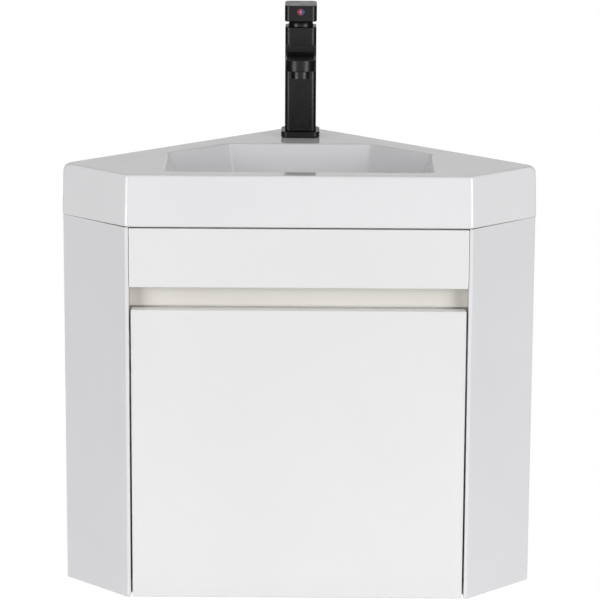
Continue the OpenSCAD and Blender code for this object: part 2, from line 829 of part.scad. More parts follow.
// Domed plug cap on its stem, shown pressed down; its stem still reaches the guide's foot when it is up
plug_cap_h = 5;
plug_edge_h = 2;
dome_steps = 8;
plug_collar = [20, 5];
plug_clear = 0.3;
module waste_plug() {
    seat = bowl_floor_z + seal_t + waste_rim_h + plug_clear;
    color("silver") at_waste() {
        translate([0, 0, seat]) rotate_extrude() polygon(concat(
            [[0, 0], [plug_d / 2, 0], [plug_d / 2, plug_edge_h]],
            [for (i = [1:dome_steps]) let (t = i / dome_steps)
                [plug_d / 2 * (1 - t), plug_edge_h + (plug_cap_h - plug_edge_h) * t * (2 - t)]]
        ));
        rod(plug_stem_d, guide_z - plug_travel, seat + 1);
        rod(plug_collar[0], seat - plug_collar[1], seat + 1);
    }
}

// ---- Tap -----------------------------------------------------------------------------------------

// Tap frame: origin where the tap's axis meets the deck
module at_tap() { translate([0, tap_y, deck_z]) children(); }
body_z = gasket_t + base_h;
base_bore = 30;
stud_y = -9.5;
stud_d = 8;
stud_up = 24;
stud_down = 58;
inlet_d = 9;
inlet_x = 7.5;
inlet_y = 4;
inlet_depth = 14;
cavity_depth = 40;
cavity_floor = body_top - cavity_depth;
waterway_d = 6;
outlet_d = 8;
nut_ring_h = 7;
gasket_inset = 1;

module tap_gasket() {
    color("black") at_tap() difference() {
        linear_extrude(gasket_t) polygon(rounded(square_pts(base_w - 2 * gasket_inset), base_r - gasket_inset));
        rod(base_bore, -eps, gasket_t + eps);
    }
}

module tap_base() {
    color(tap_colour) at_tap() difference() {
        translate([0, 0, gasket_t]) linear_extrude(base_h) polygon(rounded(square_pts(base_w), base_r));
        rod(base_bore, 0, body_z + eps);
    }
}

// Frame of the spout: origin on the tap's axis, -y towards the tip, z square to the spout
module at_spout() { translate([0, 0, spout_z]) rotate([-spout_rise, 0, 0]) children(); }
aerator_y = -(spout_reach - spout_w / 2);
aerator_spigot = 8;
aerator_spigot_d = 21.8;

tip_steps = 12;
spout_plan = concat(
    [[spout_w / 2, 0], [-spout_w / 2, 0]],
    [for (i = [0:tip_steps]) [0, aerator_y] - spout_w / 2 * [cos(180 * i / tip_steps), sin(180 * i / tip_steps)]]
);

// Side of the spout, with the hollow curve from its top up to the front of the body
root_sink = 0.4;
spout_half_h = spout_t / 2 / cos(spout_rise);
root_y = root_sink - body_w / 2;
tip_z = spout_z + spout_reach * tan(spout_rise);
spout_side = concat(
    [[0, spout_z - spout_half_h], [-spout_reach, tip_z - spout_half_h], [-spout_reach, tip_z + spout_half_h]],
    corner_arc(
        [-spout_reach, tip_z + spout_half_h],
        [root_y, spout_z + spout_half_h - root_y * tan(spout_rise)],
        [root_y, body_top], spout_root_r, tip_steps
    ),
    [[0, spout_z + spout_half_h + 2 * spout_root_r]]
);

module tap_body() {
    color(tap_colour) at_tap() difference() {
        union() {
            translate([0, 0, body_z]) linear_extrude(body_top - body_z) polygon(rounded(square_pts(body_w), body_r));
            intersection() {
                rotate([90, 0, 90]) slab(2 * spout_w) polygon(spout_side);
                linear_extrude(body_top) polygon(spout_plan);
            }
        }
        rod(cartridge_d + 2 * seat_gap, cavity_floor, body_top + eps);
        for (x = [-inlet_x, inlet_x]) translate([x, inlet_y, 0]) {
            rod(inlet_d, body_z - eps, body_z + inlet_depth);
            rod(waterway_d, body_z, cavity_floor + eps);
        }
        translate([0, stud_y, 0]) rod(stud_d + 2 * run_gap, body_z - eps, body_z + stud_up);
        at_spout() {
            translate([0, aerator_y, 0])
                rod(aerator_spigot_d + 2 * seat_gap, -spout_t / 2 - eps, aerator_spigot - spout_t / 2);
            translate([0, aerator_y, 0]) rotate([-90, 0, 0]) rod(outlet_d, 0, -aerator_y);
        }
        rod(waterway_d, spout_z, cavity_floor + cavity_depth / 2);
    }
}

module tap_stud() {
    color("silver") at_tap() translate([0, stud_y, 0]) rod(stud_d, -stud_down, body_z + stud_up - 1);
}

// Half-moon ring on the stud, whose opening lets the supply tails past
clamp_d = 46;
clamp_slot = 24;
clamp_slot_gap = 7;
ring_t = 3;
module half_moon(d, z0, z1) {
    difference() {
        rod(d, z0, z1);
        translate([-clamp_slot / 2, stud_y + clamp_slot_gap, z0 - eps]) cube([clamp_slot, d, z1 - z0 + 2 * eps]);
        translate([0, stud_y, 0]) rod(stud_d + 2 * seat_gap, z0 - eps, z1 + eps);
    }
}
module tap_seal_ring() { color("black") at_tap() half_moon(clamp_d, -deck_t - ring_t, -deck_t); }
module tap_clamp() { color("silver") at_tap() half_moon(clamp_d - 2, -deck_t - 2 * ring_t, -deck_t - ring_t); }
tap_nut_d = 14;
tap_nut_h = 16;
module tap_nut() {
    top = -deck_t - 2 * ring_t;
    color("goldenrod") at_tap() translate([0, stud_y, 0]) difference() {
        translate([0, 0, top - tap_nut_h]) cylinder(d = tap_nut_d, h = tap_nut_h, $fn = 6);
        rod(stud_d + 2 * run_gap, top - tap_nut_h - eps, top + eps);
    }
}

module at_aerator() { at_tap() at_spout() translate([0, aerator_y, -spout_t / 2]) children(); }
insert_d = 17;
insert_h = 7;
insert_rim = 1.5;
rib_pitch = 4.5;
aerator_lip = 2;
rib = [1, 3];
module aerator_ring() {
    color(tap_colour) at_aerator() difference() {
        union() {
            rod(aerator_d, -aerator_drop, 0);
            rod(aerator_spigot_d, -eps, aerator_spigot - 1);
        }
        rod(insert_d + 2 * seat_gap, -aerator_drop - eps, insert_h - aerator_drop);
        rod(insert_d - 2 * aerator_lip, -aerator_drop, aerator_spigot + eps);
    }
}

// Round grid of ribs in the aerator's mouth
module aerator_insert() {
    color("lightgray") at_aerator() difference() {
        rod(insert_d, 1 - aerator_drop, insert_h - aerator_drop);
        difference() {
            rod(insert_d - 2 * insert_rim, -aerator_drop, insert_h - aerator_drop - insert_rim);
            for (a = [0, 90], x = [-rib_pitch, 0, rib_pitch]) rotate(a)
                translate([x - rib[0] / 2, -insert_d / 2, 1 - aerator_drop]) cube([rib[0], insert_d, rib[1]]);
        }
    }
}

carrier_r = 8;
carrier_top = 7;
carrier_bottom = -11;
stem_w = 8;
stem_t = 6;
stem_gap = 0.35;
module at_neck() { at_tap() translate([0, 0, body_top]) children(); }

// Ceramic-disc cartridge in the bore of the body
module cartridge() {
    color("ivory") at_neck() difference() {
        rod(cartridge_d, -cavity_depth, -nut_ring_h);
        rod(2 * (carrier_r + run_gap), carrier_bottom - run_gap, eps);
    }
}

module cartridge_nut() {
    color("goldenrod") at_neck() difference() {
        rod(cartridge_d, -nut_ring_h, 0);
        rod(2 * (carrier_r + 1.5), -nut_ring_h - eps, eps);
    }
}

// Round cap over the cartridge, open at the top for the stem
cap_wall = 2.4;
cap_mouth_r = 10.6;
module neck_cap() {
    color(tap_colour) at_neck() difference() {
        intersection() {
            sphere(r = neck_r, $fn = 72);
            rod(3 * neck_r, 0, 2 * neck_r);
        }
        sphere(r = neck_r - cap_wall, $fn = 72);
        rod(2 * cap_mouth_r, 0, 2 * neck_r);
    }
}

fork_depth = 5;
// Fork that turns with the lever, between whose cheeks the stem tilts
module cartridge_carrier() {
    color("ivory") at_neck() difference() {
        rod(2 * carrier_r, carrier_bottom, carrier_top);
        translate([-stem_w / 2 - stem_gap, -2 * carrier_r, -fork_depth])
            cube([stem_w + 2 * stem_gap, 4 * carrier_r, carrier_top + fork_depth + eps]);
    }
}

stem_foot = 4;
stem_into_lever = 9.6;
module cartridge_stem() {
    color("silver") at_neck() {
        translate([-stem_w / 2, -stem_t / 2, 0]) cube([stem_w, stem_t, neck_r + stem_into_lever]);
        rotate([0, 90, 0]) rod(2 * stem_foot, -stem_w / 2, stem_w / 2);
    }
}

// Square lever block with a round hollow over the neck
lever_r = 7;
screw_bore_d = 5;
dot_d = 9.4;
dot_h = 2.4;
grub_z = neck_r + stem_into_lever / 2;
module lever() {
    color(tap_colour) at_neck() difference() {
        translate([0, 0, lever_gap]) linear_extrude(lever_h) polygon(rounded([
            [lever_w / 2, lever_rear], [-lever_w / 2, lever_rear],
            [-lever_w / 2, -lever_front], [lever_w / 2, -lever_front]
        ], lever_r));
        sphere(r = neck_r + 0.6, $fn = 72);
        translate([-stem_w / 2 - run_gap, -stem_t / 2 - run_gap, 0])
            cube([stem_w + 2 * run_gap, stem_t + 2 * run_gap, neck_r + stem_into_lever + run_gap]);
        translate([0, 0, grub_z]) rotate([90, 0, 0]) {
            rod(screw_bore_d, 0, lever_front + eps);
            rod(dot_d, lever_front - dot_h, lever_front + eps);
        }
        translate([-lever_w, lever_rear - lever_bevel, lever_gap]) rotate([45, 0, 0])
            mirror([0, 0, 1]) cube([2 * lever_w, 2 * lever_bevel, lever_h]);
    }
}

grub_len = 9;
grub_key = [2.9, 3];
module lever_grub_screw() {
    color("silver") at_neck() translate([0, 0, grub_z]) rotate([90, 0, 0]) difference() {
        rod(screw_bore_d - 2 * run_gap, stem_t / 2 + run_gap, stem_t / 2 + grub_len);
        translate([0, 0, stem_t / 2 + grub_len - grub_key[1]]) cylinder(d = grub_key[0], h = grub_len, $fn = 6);
    }
}

module temperature_dot() {
    color("firebrick") at_neck() translate([0, 0, grub_z]) rotate([90, 0, 0])
        rod(dot_d - 2 * run_gap, lever_front - dot_h, lever_front - 0.2);
}

side_panel_left();
side_panel_right();
bottom_panel();
corner_post();
hanging_rail_left();
hanging_rail_right();
lower_back_left();
lower_back_right();
pull_rail();
fascia();
fascia_screws();
rail_brackets();
bracket_screws();
shelf();
shelf_pins();
cam_locks();
cam_bolts();
dowels();
door();
door_bumpers();
hinge_cup_lower();
hinge_cup_upper();
hinge_cup_screws();
hinge_link_lower();
hinge_link_upper();
hinge_arm_lower();
hinge_arm_upper();
hinge_plate_lower();
hinge_plate_upper();
hinge_plate_screws();
basin();
waste_body();
waste_seal();
waste_washer();
waste_nut();
waste_guide();
waste_plug();
tap_gasket();
tap_base();
tap_body();
tap_stud();
tap_seal_ring();
tap_clamp();
tap_nut();
aerator_ring();
aerator_insert();
cartridge();
cartridge_nut();
neck_cap();
cartridge_carrier();
cartridge_stem();
lever();
lever_grub_screw();
temperature_dot();
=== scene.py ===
import math

import bmesh
import bpy
from mathutils import Matrix, Vector


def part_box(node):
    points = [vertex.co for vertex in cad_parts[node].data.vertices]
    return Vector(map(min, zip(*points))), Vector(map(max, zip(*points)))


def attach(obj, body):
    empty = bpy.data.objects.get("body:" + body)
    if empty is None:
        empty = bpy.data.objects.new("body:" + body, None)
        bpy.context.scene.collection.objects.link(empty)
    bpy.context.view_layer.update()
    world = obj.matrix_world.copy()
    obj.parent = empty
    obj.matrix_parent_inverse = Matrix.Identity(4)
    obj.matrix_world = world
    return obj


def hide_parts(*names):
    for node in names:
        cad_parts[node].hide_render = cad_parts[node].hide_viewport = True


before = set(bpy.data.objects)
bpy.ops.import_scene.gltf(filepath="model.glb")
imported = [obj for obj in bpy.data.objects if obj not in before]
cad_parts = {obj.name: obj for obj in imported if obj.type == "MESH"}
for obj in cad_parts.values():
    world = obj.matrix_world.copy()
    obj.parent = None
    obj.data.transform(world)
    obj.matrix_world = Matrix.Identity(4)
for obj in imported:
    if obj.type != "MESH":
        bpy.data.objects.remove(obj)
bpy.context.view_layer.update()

# ---- Camera, studio light and floor ----
# The unit hangs on its wall, so the studio floor lies below it. The camera is the one fitted to the
# photograph's edges: a long lens, a little above the basin and almost square to the door.

scene = bpy.context.scene
camera_place = (0.0137, -3.6377, 1.1528)
camera_yaw = 0.20
camera_pitch = 12.78
camera_roll = 0.30


def new_object(name, data):
    """Object linked into the scene."""
    thing = bpy.data.objects.new(name, data)
    scene.collection.objects.link(thing)
    return thing


def turn(degrees, axis):
    """Rotation round an axis of the frame."""
    return Matrix.Rotation(math.radians(degrees), 4, axis)


camera = new_object("photo_camera", bpy.data.cameras.new("photo_camera"))
camera.data.sensor_width = 36.0
camera.data.lens = 180.66
aim = turn(camera_yaw, "Z") @ turn(90 - camera_pitch, "X") @ turn(camera_roll, "Z")
camera.matrix_world = Matrix.Translation(camera_place) @ aim
scene.camera = camera
scene.view_settings.view_transform = "Standard"

# Two tall soft boxes stand left and right of the camera, so the door is lighter than the wings. They show
# in the tap and on the rounded corners of the basin. A small one high on the right draws the bowl's creases.
box_turn = math.radians(48.5)
box_away = 2.55
lit_point = Vector((0, 0, 0.25))
for side, height, width, tall, watts in (
    (-1, 0.6, 1.1, 1.5, 31.8),
    (1, 0.6, 1.1, 1.5, 33.2),
    (1, 1.8, 0.8, 0.6, 4.5),
):
    soft_box = new_object("soft_box", bpy.data.lights.new("soft_box", "AREA"))
    soft_box.data.shape = "RECTANGLE"
    soft_box.data.size = width
    soft_box.data.size_y = tall
    soft_box.data.energy = watts
    place = Vector((side * box_away * math.sin(box_turn), -box_away * math.cos(box_turn), height))
    aim = (lit_point - place).to_track_quat("-Z", "Y")
    soft_box.matrix_world = Matrix.Translation(place) @ aim.to_matrix().to_4x4()


def made(tree, kind, *values, **options):
    """Node with its options set, and its inputs set or linked in order where not None; returns its output."""
    node = tree.nodes.new(kind)
    for option, value in options.items():
        setattr(node, option, value)
    for socket, value in zip(node.inputs, values):
        if isinstance(value, bpy.types.NodeSocket):
            tree.links.new(value, socket)
        elif value is not None:
            socket.default_value = value
    return node.outputs[0]


def maths(tree, operation, *values):
    return made(tree, "ShaderNodeMath", *values, operation=operation)


# Light from above comes from the world. Mirrored rays see a white wall behind the unit, a pale studio behind
# the camera, a pale ceiling and dark sides; the camera itself sees plain white.
world = bpy.data.worlds.new("studio_world")
scene.world = world
world.use_nodes = True
sky = world.node_tree
sky.nodes.clear()
white = (1.0, 1.0, 1.0, 1.0)
ambient_level = 0.305
dark_level = 0.04
wall_level = 0.85
studio_level = 0.88
ceiling_level = 0.60
look = made(sky, "ShaderNodeSeparateXYZ", made(sky, "ShaderNodeTexCoord")).node.outputs
rays = sky.nodes.new("ShaderNodeLightPath").outputs
above = made(sky, "ShaderNodeMapRange", look["Z"], -0.1, 0.15, 0.0, ambient_level)
ambient = made(sky, "ShaderNodeBackground", white, above)
wall = made(sky, "ShaderNodeMapRange", look["Y"], 0.90, 0.97, dark_level, wall_level)
studio = made(sky, "ShaderNodeMapRange", look["Y"], -0.95, -0.55, studio_level, dark_level)
ceiling = made(sky, "ShaderNodeMapRange", look["Z"], 0.30, 0.60, dark_level, ceiling_level)
mirrored = maths(sky, "MAXIMUM", maths(sky, "MAXIMUM", wall, studio), ceiling)
surroundings = made(sky, "ShaderNodeBackground", white, mirrored)
reflected = maths(sky, "MAXIMUM", rays["Is Glossy Ray"], rays["Is Transmission Ray"])
either = made(sky, "ShaderNodeMixShader", reflected, ambient, surroundings)
backdrop = made(sky, "ShaderNodeBackground", white, 1.0)
seen = made(sky, "ShaderNodeMixShader", rays["Is Camera Ray"], either, backdrop)
sky.links.new(seen, sky.nodes.new("ShaderNodeOutputWorld").inputs["Surface"])

# The floor is pale paint, lifted towards white for the camera alone, so it keeps the unit's soft shadow.
floor_z = -0.28
floor_half = 0.95
floor_front = -1.1
floor_back = 0.7
floor_lift = 0.62
floor_mesh = bpy.data.meshes.new("studio_floor")
corners = ((-1, floor_front), (1, floor_front), (1, floor_back), (-1, floor_back))
floor_mesh.from_pydata([(side * floor_half, y, floor_z) for side, y in corners], [], [(0, 1, 2, 3)])
floor = new_object("studio_floor", floor_mesh)
floor_paint = bpy.data.materials.new("studio_floor")
floor_paint.use_nodes = True
tree = floor_paint.node_tree
tree.nodes.clear()
paint = made(tree, "ShaderNodeBsdfDiffuse", (0.86, 0.86, 0.86, 1))
rays = tree.nodes.new("ShaderNodeLightPath").outputs
lift = made(tree, "ShaderNodeEmission", white, maths(tree, "MULTIPLY", rays["Is Camera Ray"], floor_lift))
both = made(tree, "ShaderNodeAddShader", paint, lift)
tree.links.new(both, tree.nodes.new("ShaderNodeOutputMaterial").inputs["Surface"])
floor_mesh.materials.append(floor_paint)

# ---- Side panels ----
# Two 16 mm chipboard panels, lacquered white outside. Each is mitred at its front end to a narrow nose
# beside the door, and is cut square where it meets the room wall. Their outer faces are the unit's wings.

mm = 0.001
root2 = math.sqrt(2)
wall_side = 400.0
wing = 111.0
nose_w = 4.0
board = 16.0
cabinet_h = 455.0
cabinet_depth = (wall_side + wing) / root2
corner_y = cabinet_depth / 2 + 1.0
front_y = corner_y - cabinet_depth
inner = wall_side - board
nose_x = (wall_side - wing) / root2 - nose_w
notch_y = nose_x - root2 * inner + corner_y
board_edge_r = 1.4
board_corner_r = 0.7


def wall_pt(along, off=0.0):
    """Point at a distance along the right wall and at an offset from it, negative into the room."""
    return ((along + off) / root2, corner_y + (off - along) / root2)


def inner_x(y, gap=0.0):
    """Half width between the side panels' inner faces at a given y."""
    return root2 * (inner - gap) + y - corner_y


def counter_clockwise(pts):
    area = sum(a[0] * b[1] - b[0] * a[1] for a, b in zip(pts, pts[1:] + pts[:1]))
    return pts if area > 0 else pts[::-1]


def drawn_in(pts, d):
    """Counter-clockwise polygon with every edge moved inwards by d."""
    result = []
    for i, b in enumerate(pts):
        a, c = Vector(pts[i - 1]), Vector(pts[(i + 1) % len(pts)])
        u, v = (Vector(b) - a).normalized(), (c - Vector(b)).normalized()
        n1, n2 = Vector((-u.y, u.x)), Vector((-v.y, v.x))
        result.append(tuple(Vector(b) + (n1 + n2) * d / (1 + n1.dot(n2))))
    return result


def corner_arc(a, b, c, r, steps):
    """Points of the arc of radius r that rounds corner b between a and c."""
    a, b, c = Vector(a), Vector(b), Vector(c)
    u, v = (a - b).normalized(), (c - b).normalized()
    half = math.acos(max(-1.0, min(1.0, u.dot(v)))) / 2
    centre = b + (u + v).normalized() * (r / math.sin(half))
    p0, p1 = b + u * (r / math.tan(half)) - centre, b + v * (r / math.tan(half)) - centre
    a0 = math.atan2(p0.y, p0.x)
    sweep = (math.atan2(p1.y, p1.x) - a0 + math.pi) % (2 * math.pi) - math.pi
    angles = [a0 + sweep * k / steps for k in range(steps + 1)]
    return [(centre.x + r * math.cos(t), centre.y + r * math.sin(t)) for t in angles]


def quarter_round(r, steps):
    """Points of a quarter round as (inwards, upwards), from a flat face to an upright one."""
    angles = [math.radians(90) * k / steps for k in range(steps + 1)]
    return [(r * (1 - math.sin(t)), r * (1 - math.cos(t))) for t in angles]


def rounded_plan(pts, radii, arc_steps, edge_steps=1):
    """Polygon with each corner rounded by its own radius, and straight edges cut into edge_steps."""
    arcs = []
    for i, b in enumerate(pts):
        arcs.append(corner_arc(pts[i - 1], b, pts[(i + 1) % len(pts)], radii[i], arc_steps))
    plan = []
    for i, arc in enumerate(arcs):
        plan += arc
        (x0, y0), (x1, y1) = arc[-1], arcs[(i + 1) % len(arcs)][0]
        shares = [k / edge_steps for k in range(1, edge_steps)]
        plan += [(x0 + (x1 - x0) * share, y0 + (y1 - y0) * share) for share in shares]
    return plan


def add_ring(bm, plan, z):
    """Ring of vertices; z is a height in mm or a function of x and y."""
    height = z if callable(z) else (lambda x, y: z)
    return [bm.verts.new((x * mm, y * mm, height(x, y) * mm)) for x, y in plan]


def join_rings(bm, rings, close=False):
    pairs = list(zip(rings, rings[1:])) + ([(rings[-1], rings[0])] if close else [])
    for a, b in pairs:
        for i in range(len(a)):
            j = (i + 1) % len(a)
            bm.faces.new((a[i], a[j], b[j], b[i]))


def slab(plan, z0, z1, edge_r, corner_r, steps=3):
    """Mesh data of a closed board with rounded edges over a counter-clockwise plan."""
    bm = bmesh.new()
    levels = [(d, z0 + up) for d, up in quarter_round(edge_r, steps)]
    levels += [(d, z0 + z1 - z) for d, z in reversed(levels)]
    rings = []
    for d, z in levels:
        radii = [max(corner_r - d, 0.05)] * len(plan)
        rings.append(add_ring(bm, rounded_plan(drawn_in(plan, d), radii, steps), z))
    join_rings(bm, rings)
    bm.faces.new(list(reversed(rings[0])))
    bm.faces.new(rings[-1])
    return bm


def as_mesh(name, bm):
    """Mesh from mesh data, with its normals outwards."""
    bmesh.ops.recalc_face_normals(bm, faces=bm.faces)
    mesh = bpy.data.meshes.new(name)
    bm.to_mesh(mesh)
    bm.free()
    return mesh


def placed(name, mesh, mats, body, nodes, sharp=50):
    """Piece with smooth faces and sharp edges, which rides on a body and stands for CAD nodes."""
    mesh.name = name
    mesh.materials.clear()
    for mat in mats:
        mesh.materials.append(mat)
    mesh.polygons.foreach_set("use_smooth", [True] * len(mesh.polygons))
    mesh.set_sharp_from_angle(angle=math.radians(sharp))
    piece = new_object(name, mesh)
    shade = piece.modifiers.new("even_shading", "WEIGHTED_NORMAL")
    shade.keep_sharp = True
    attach(piece, body)
    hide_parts(*nodes)
    return piece


def finished(name, bm, mats, body, nodes, sharp=50):
    """Piece from mesh data, with its double vertices merged."""
    bmesh.ops.remove_doubles(bm, verts=bm.verts, dist=1e-7)
    return placed(name, as_mesh(name, bm), mats, body, nodes, sharp)


def new_finish(name, **sockets):
    """Material with constants on its shader's sockets; returns it with its tree, shader and coordinates."""
    mat = bpy.data.materials.new(name)
    mat.use_nodes = True
    tree = mat.node_tree
    shader = tree.nodes["Principled BSDF"]
    for socket, value in sockets.items():
        shader.inputs[socket.replace("_", " ")].default_value = value
    return mat, tree, shader, tree.nodes.new("ShaderNodeTexCoord").outputs["Object"]


def cloud(tree, place, size, detail, low=0.0, high=1.0, stretch=(1, 1, 1)):
    """Soft random value between low and high, with features of the given size in metres."""
    scaled = made(tree, "ShaderNodeVectorMath", place, stretch, operation="MULTIPLY")
    noise = made(tree, "ShaderNodeTexNoise", scaled, None, 1.0 / size, detail)
    return made(tree, "ShaderNodeMapRange", noise, 0.35, 0.65, low, high)


def blended(tree, factor, a, b):
    """Colour between a and b; each is a colour or another node's output."""
    number_and_vector_sockets = [None] * 5
    colours = [(*end, 1) if isinstance(end, tuple) else end for end in (a, b)]
    mix = made(tree, "ShaderNodeMix", factor, *number_and_vector_sockets, *colours, data_type="RGBA")
    return mix.node.outputs[2]


def relief(tree, shader, height, depth, under=None):
    """Bump of the given depth in metres, over another one where under is its normal; returns its normal."""
    bump = made(tree, "ShaderNodeBump", 1.0, depth, None, height, under)
    tree.links.new(bump, shader.inputs["Normal"])
    return bump


def plain_finish(name, tone, dark, light, grain, depth, rough=None, waves=None, **sockets):
    """Material whose colour, roughness and relief each come from a cloud with the settings given for it.

    Waves are the size, detail and depth of a longer relief under the grain. Sockets are constants.
    """
    mat, tree, shader, place = new_finish(name, **sockets)
    tree.links.new(blended(tree, cloud(tree, place, *tone), dark, light), shader.inputs["Base Color"])
    if rough:
        tree.links.new(cloud(tree, place, *rough), shader.inputs["Roughness"])
    under = relief(tree, shader, cloud(tree, place, *waves[:2]), waves[2]) if waves else None
    relief(tree, shader, cloud(tree, place, *grain), depth, under)
    return mat


# White lacquer on the wings: satin, with a fine orange peel and faint wipe marks.
wing_lacquer = plain_finish(
    "wing_lacquer", tone=(0.16, 4), dark=(0.840, 0.839, 0.862), light=(0.858, 0.857, 0.880),
    rough=(0.05, 5, 0.235, 0.265, (1.0, 1.0, 0.22)), grain=(0.0016, 2), depth=0.000012,
    IOR=1.48, Coat_Weight=0.25, Coat_Roughness=0.12,
)

# Melamine on their inner faces: a dull, finely pearled print layer that is a little warmer than the lacquer.
melamine = plain_finish(
    "melamine", tone=(0.12, 3), dark=(0.755, 0.733, 0.690), light=(0.785, 0.763, 0.720),
    rough=(0.03, 5, 0.34, 0.5, (1.0, 1.0, 0.35)), grain=(0.0011, 3), depth=0.00003, IOR=1.45,
)

# Their top edges under the basin are bare chipboard, sealed grey-brown, and their colour is darkened further
# as painted shade for the shadow under the basin's overhang, so they show as a thin dark joint.
bare_edge_painted_shade = plain_finish(
    "bare_board_edge_painted_shade", tone=(0.0016, 4), dark=(0.10, 0.09, 0.075), light=(0.24, 0.21, 0.17),
    grain=(0.0016, 4), depth=0.0001, Roughness=0.8,
)

panel_mats = [wing_lacquer, melamine, bare_edge_painted_shade]
side_plan = [wall_pt(wall_side), wall_pt(wall_side, -wing), (nose_x, front_y), (nose_x, notch_y)]
side_plan.append(wall_pt(inner))
for side, name in ((1, "side_panel_right"), (-1, "side_panel_left")):
    plan = counter_clockwise([(side * x, y) for x, y in side_plan])
    bm = slab(plan, 0.0, cabinet_h, board_edge_r, board_corner_r)
    panel = finished(name + "_lacquered", bm, panel_mats, "cabinet", [name])
    for face in panel.data.polygons:
        inwards = -face.normal.x * side
        inside = inwards > 0.9 or inwards + face.normal.y > 1.2
        # Faces that face up, the top edges, take the bare edge, whose dark colour is partly painted shade.
        face.material_index = 2 if face.normal.z > 0.7 else int(inside)

# ---- Floor, post and back boards of the cabinet ----
# White melamine-faced chipboard, cut square, with a thin edging glued on. The back is open between the
# hanging rails under the basin and the low boards at the floor, so that pipes reach the wall.

hard_edge = math.radians(35)
flat_edge = math.radians(0.6)


def from_cad(node, ending, finish, edge_r=0.35, body="cabinet"):
    """Piece in the shape of a CAD node, with its doubles merged and its hard edges eased by edge_r in mm."""
    bm = bmesh.new()
    bm.from_mesh(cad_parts[node].data)
    bmesh.ops.remove_doubles(bm, verts=bm.verts, dist=2e-6)
    bmesh.ops.dissolve_limit(bm, angle_limit=flat_edge, verts=bm.verts, edges=bm.edges)
    if edge_r:
        hard = [e for e in bm.edges if len(e.link_faces) == 2 and e.calc_face_angle(0) > hard_edge]
        bmesh.ops.bevel(
            bm, geom=hard, offset=edge_r * mm, offset_type="OFFSET", segments=2, profile=0.5,
            affect="EDGES", clamp_overlap=False,
        )
    finished(f"{node}_{ending}", bm, [finish], body, [node])


boards = ["bottom_panel", "corner_post", "hanging_rail_left", "hanging_rail_right"]
for node in boards + ["lower_back_left", "lower_back_right"]:
    from_cad(node, "board", melamine)

# ---- Recess rail ----
# The board behind the finger recess, of the same melamine. Its mitred ends meet the side panels, and a
# groove behind the door's top edge leaves a dark shadow line there.

rail_y = front_y + 18.0
rail_back_y = rail_y + board
rail_edge_r = 0.4
rail_corner_r = 0.3
rail_low, rail_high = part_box("pull_rail")
door_low, door_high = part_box("door")
door_top = door_high.z / mm
groove_deep = 3.0
groove_low = door_top - 1.7
groove_high = door_top + 1.3
past = 1.0


def mirrored_plan(pts):
    """Counter-clockwise plan of points and their mirror image across the middle of the unit."""
    return counter_clockwise(pts + [(-x, y) for x, y in reversed(pts) if x > 1e-6])


def add_prism(bm, side, x0, x1):
    """Adds a closed prism: a side view of (y, z) in mm, drawn out from x0 to x1."""
    ends = [[bm.verts.new((x * mm, y * mm, z * mm)) for y, z in side] for x in (x0, x1)]
    join_rings(bm, ends)
    for end in ends:
        bm.faces.new(end)


def carved(mesh, cutter, operation="DIFFERENCE"):
    """Mesh after a boolean with a cutter's mesh data, which goes past its surface where it cuts."""
    blade = new_object("cutter", as_mesh("cutter", cutter))
    stock = new_object("stock", mesh)
    cut = stock.modifiers.new("cut", "BOOLEAN")
    cut.operation = operation
    cut.solver = "EXACT"
    cut.object = blade
    result = bpy.data.meshes.new_from_object(stock.evaluated_get(bpy.context.evaluated_depsgraph_get()))
    for thing in (stock, blade):
        bpy.data.objects.remove(thing)
    return result


rail_plan = mirrored_plan([(inner_x(rail_back_y), rail_back_y), (inner_x(rail_y), rail_y)])
bm = slab(rail_plan, rail_low.z / mm, rail_high.z / mm, rail_edge_r, rail_corner_r, 2)
rail_mesh = as_mesh("pull_rail", bm)
groove = bmesh.new()
front, back = rail_y - past, rail_y + groove_deep
groove_side = [(front, groove_low), (back, groove_low), (back, groove_high), (front, groove_high)]
add_prism(groove, groove_side, -wall_side, wall_side)
placed("pull_rail_board", carved(rail_mesh, groove), [melamine], "cabinet", ["pull_rail"])

# ---- Cam locks, bolts and dowels ----
# Knock-down fittings of the carcass. Die-cast zinc cams turn on the heads of steel bolts, and fluted
# beech dowels keep the boards in line. Only the faces of the cams show, inside and under the cabinet.

zinc = plain_finish(
    "die_cast_zinc", tone=(0.004, 4), dark=(0.42, 0.42, 0.43), light=(0.56, 0.56, 0.57),
    rough=(0.0015, 3, 0.32, 0.52), grain=(0.0005, 2), depth=0.00002, Metallic=0.9,
)
from_cad("cam_locks", "cast", zinc, 0.25)

brushed = (0.0012, 4, 0.22, 0.4, (1.0, 1.0, 0.12))
plated = plain_finish(
    "plated_steel", tone=(0.01, 3), dark=(0.58, 0.575, 0.56), light=(0.68, 0.675, 0.66),
    rough=brushed, grain=brushed, depth=0.000006, Metallic=1.0,
)
from_cad("cam_bolts", "turned", plated, 0.2)

streak = (0.002, 5, 0.0, 1.0, (1.0, 1.0, 0.15))
beech = plain_finish(
    "beech_dowel", tone=streak, dark=(0.62, 0.43, 0.26), light=(0.76, 0.58, 0.38),
    grain=streak, depth=0.00008, Roughness=0.62,
)
from_cad("dowels", "beech", beech, 0.4)

# ---- Screws ----
# Zinc-plated pan-head chipboard screws with a cross recess, all from one wire size. They hold the
# fascia, the steel brackets and the hinges. Each set is one row of copies made by Geometry Nodes.

screw_shank = 3.5
screw_head = 7.0
screw_head_h = 2.2
screw_point = 3.0
crown_share = 0.72
neck_share = 0.62
tip_share = 0.2
shank_into_head = 0.2
recess_long = 3.6
recess_wide = 0.9
recess_box = 3.0


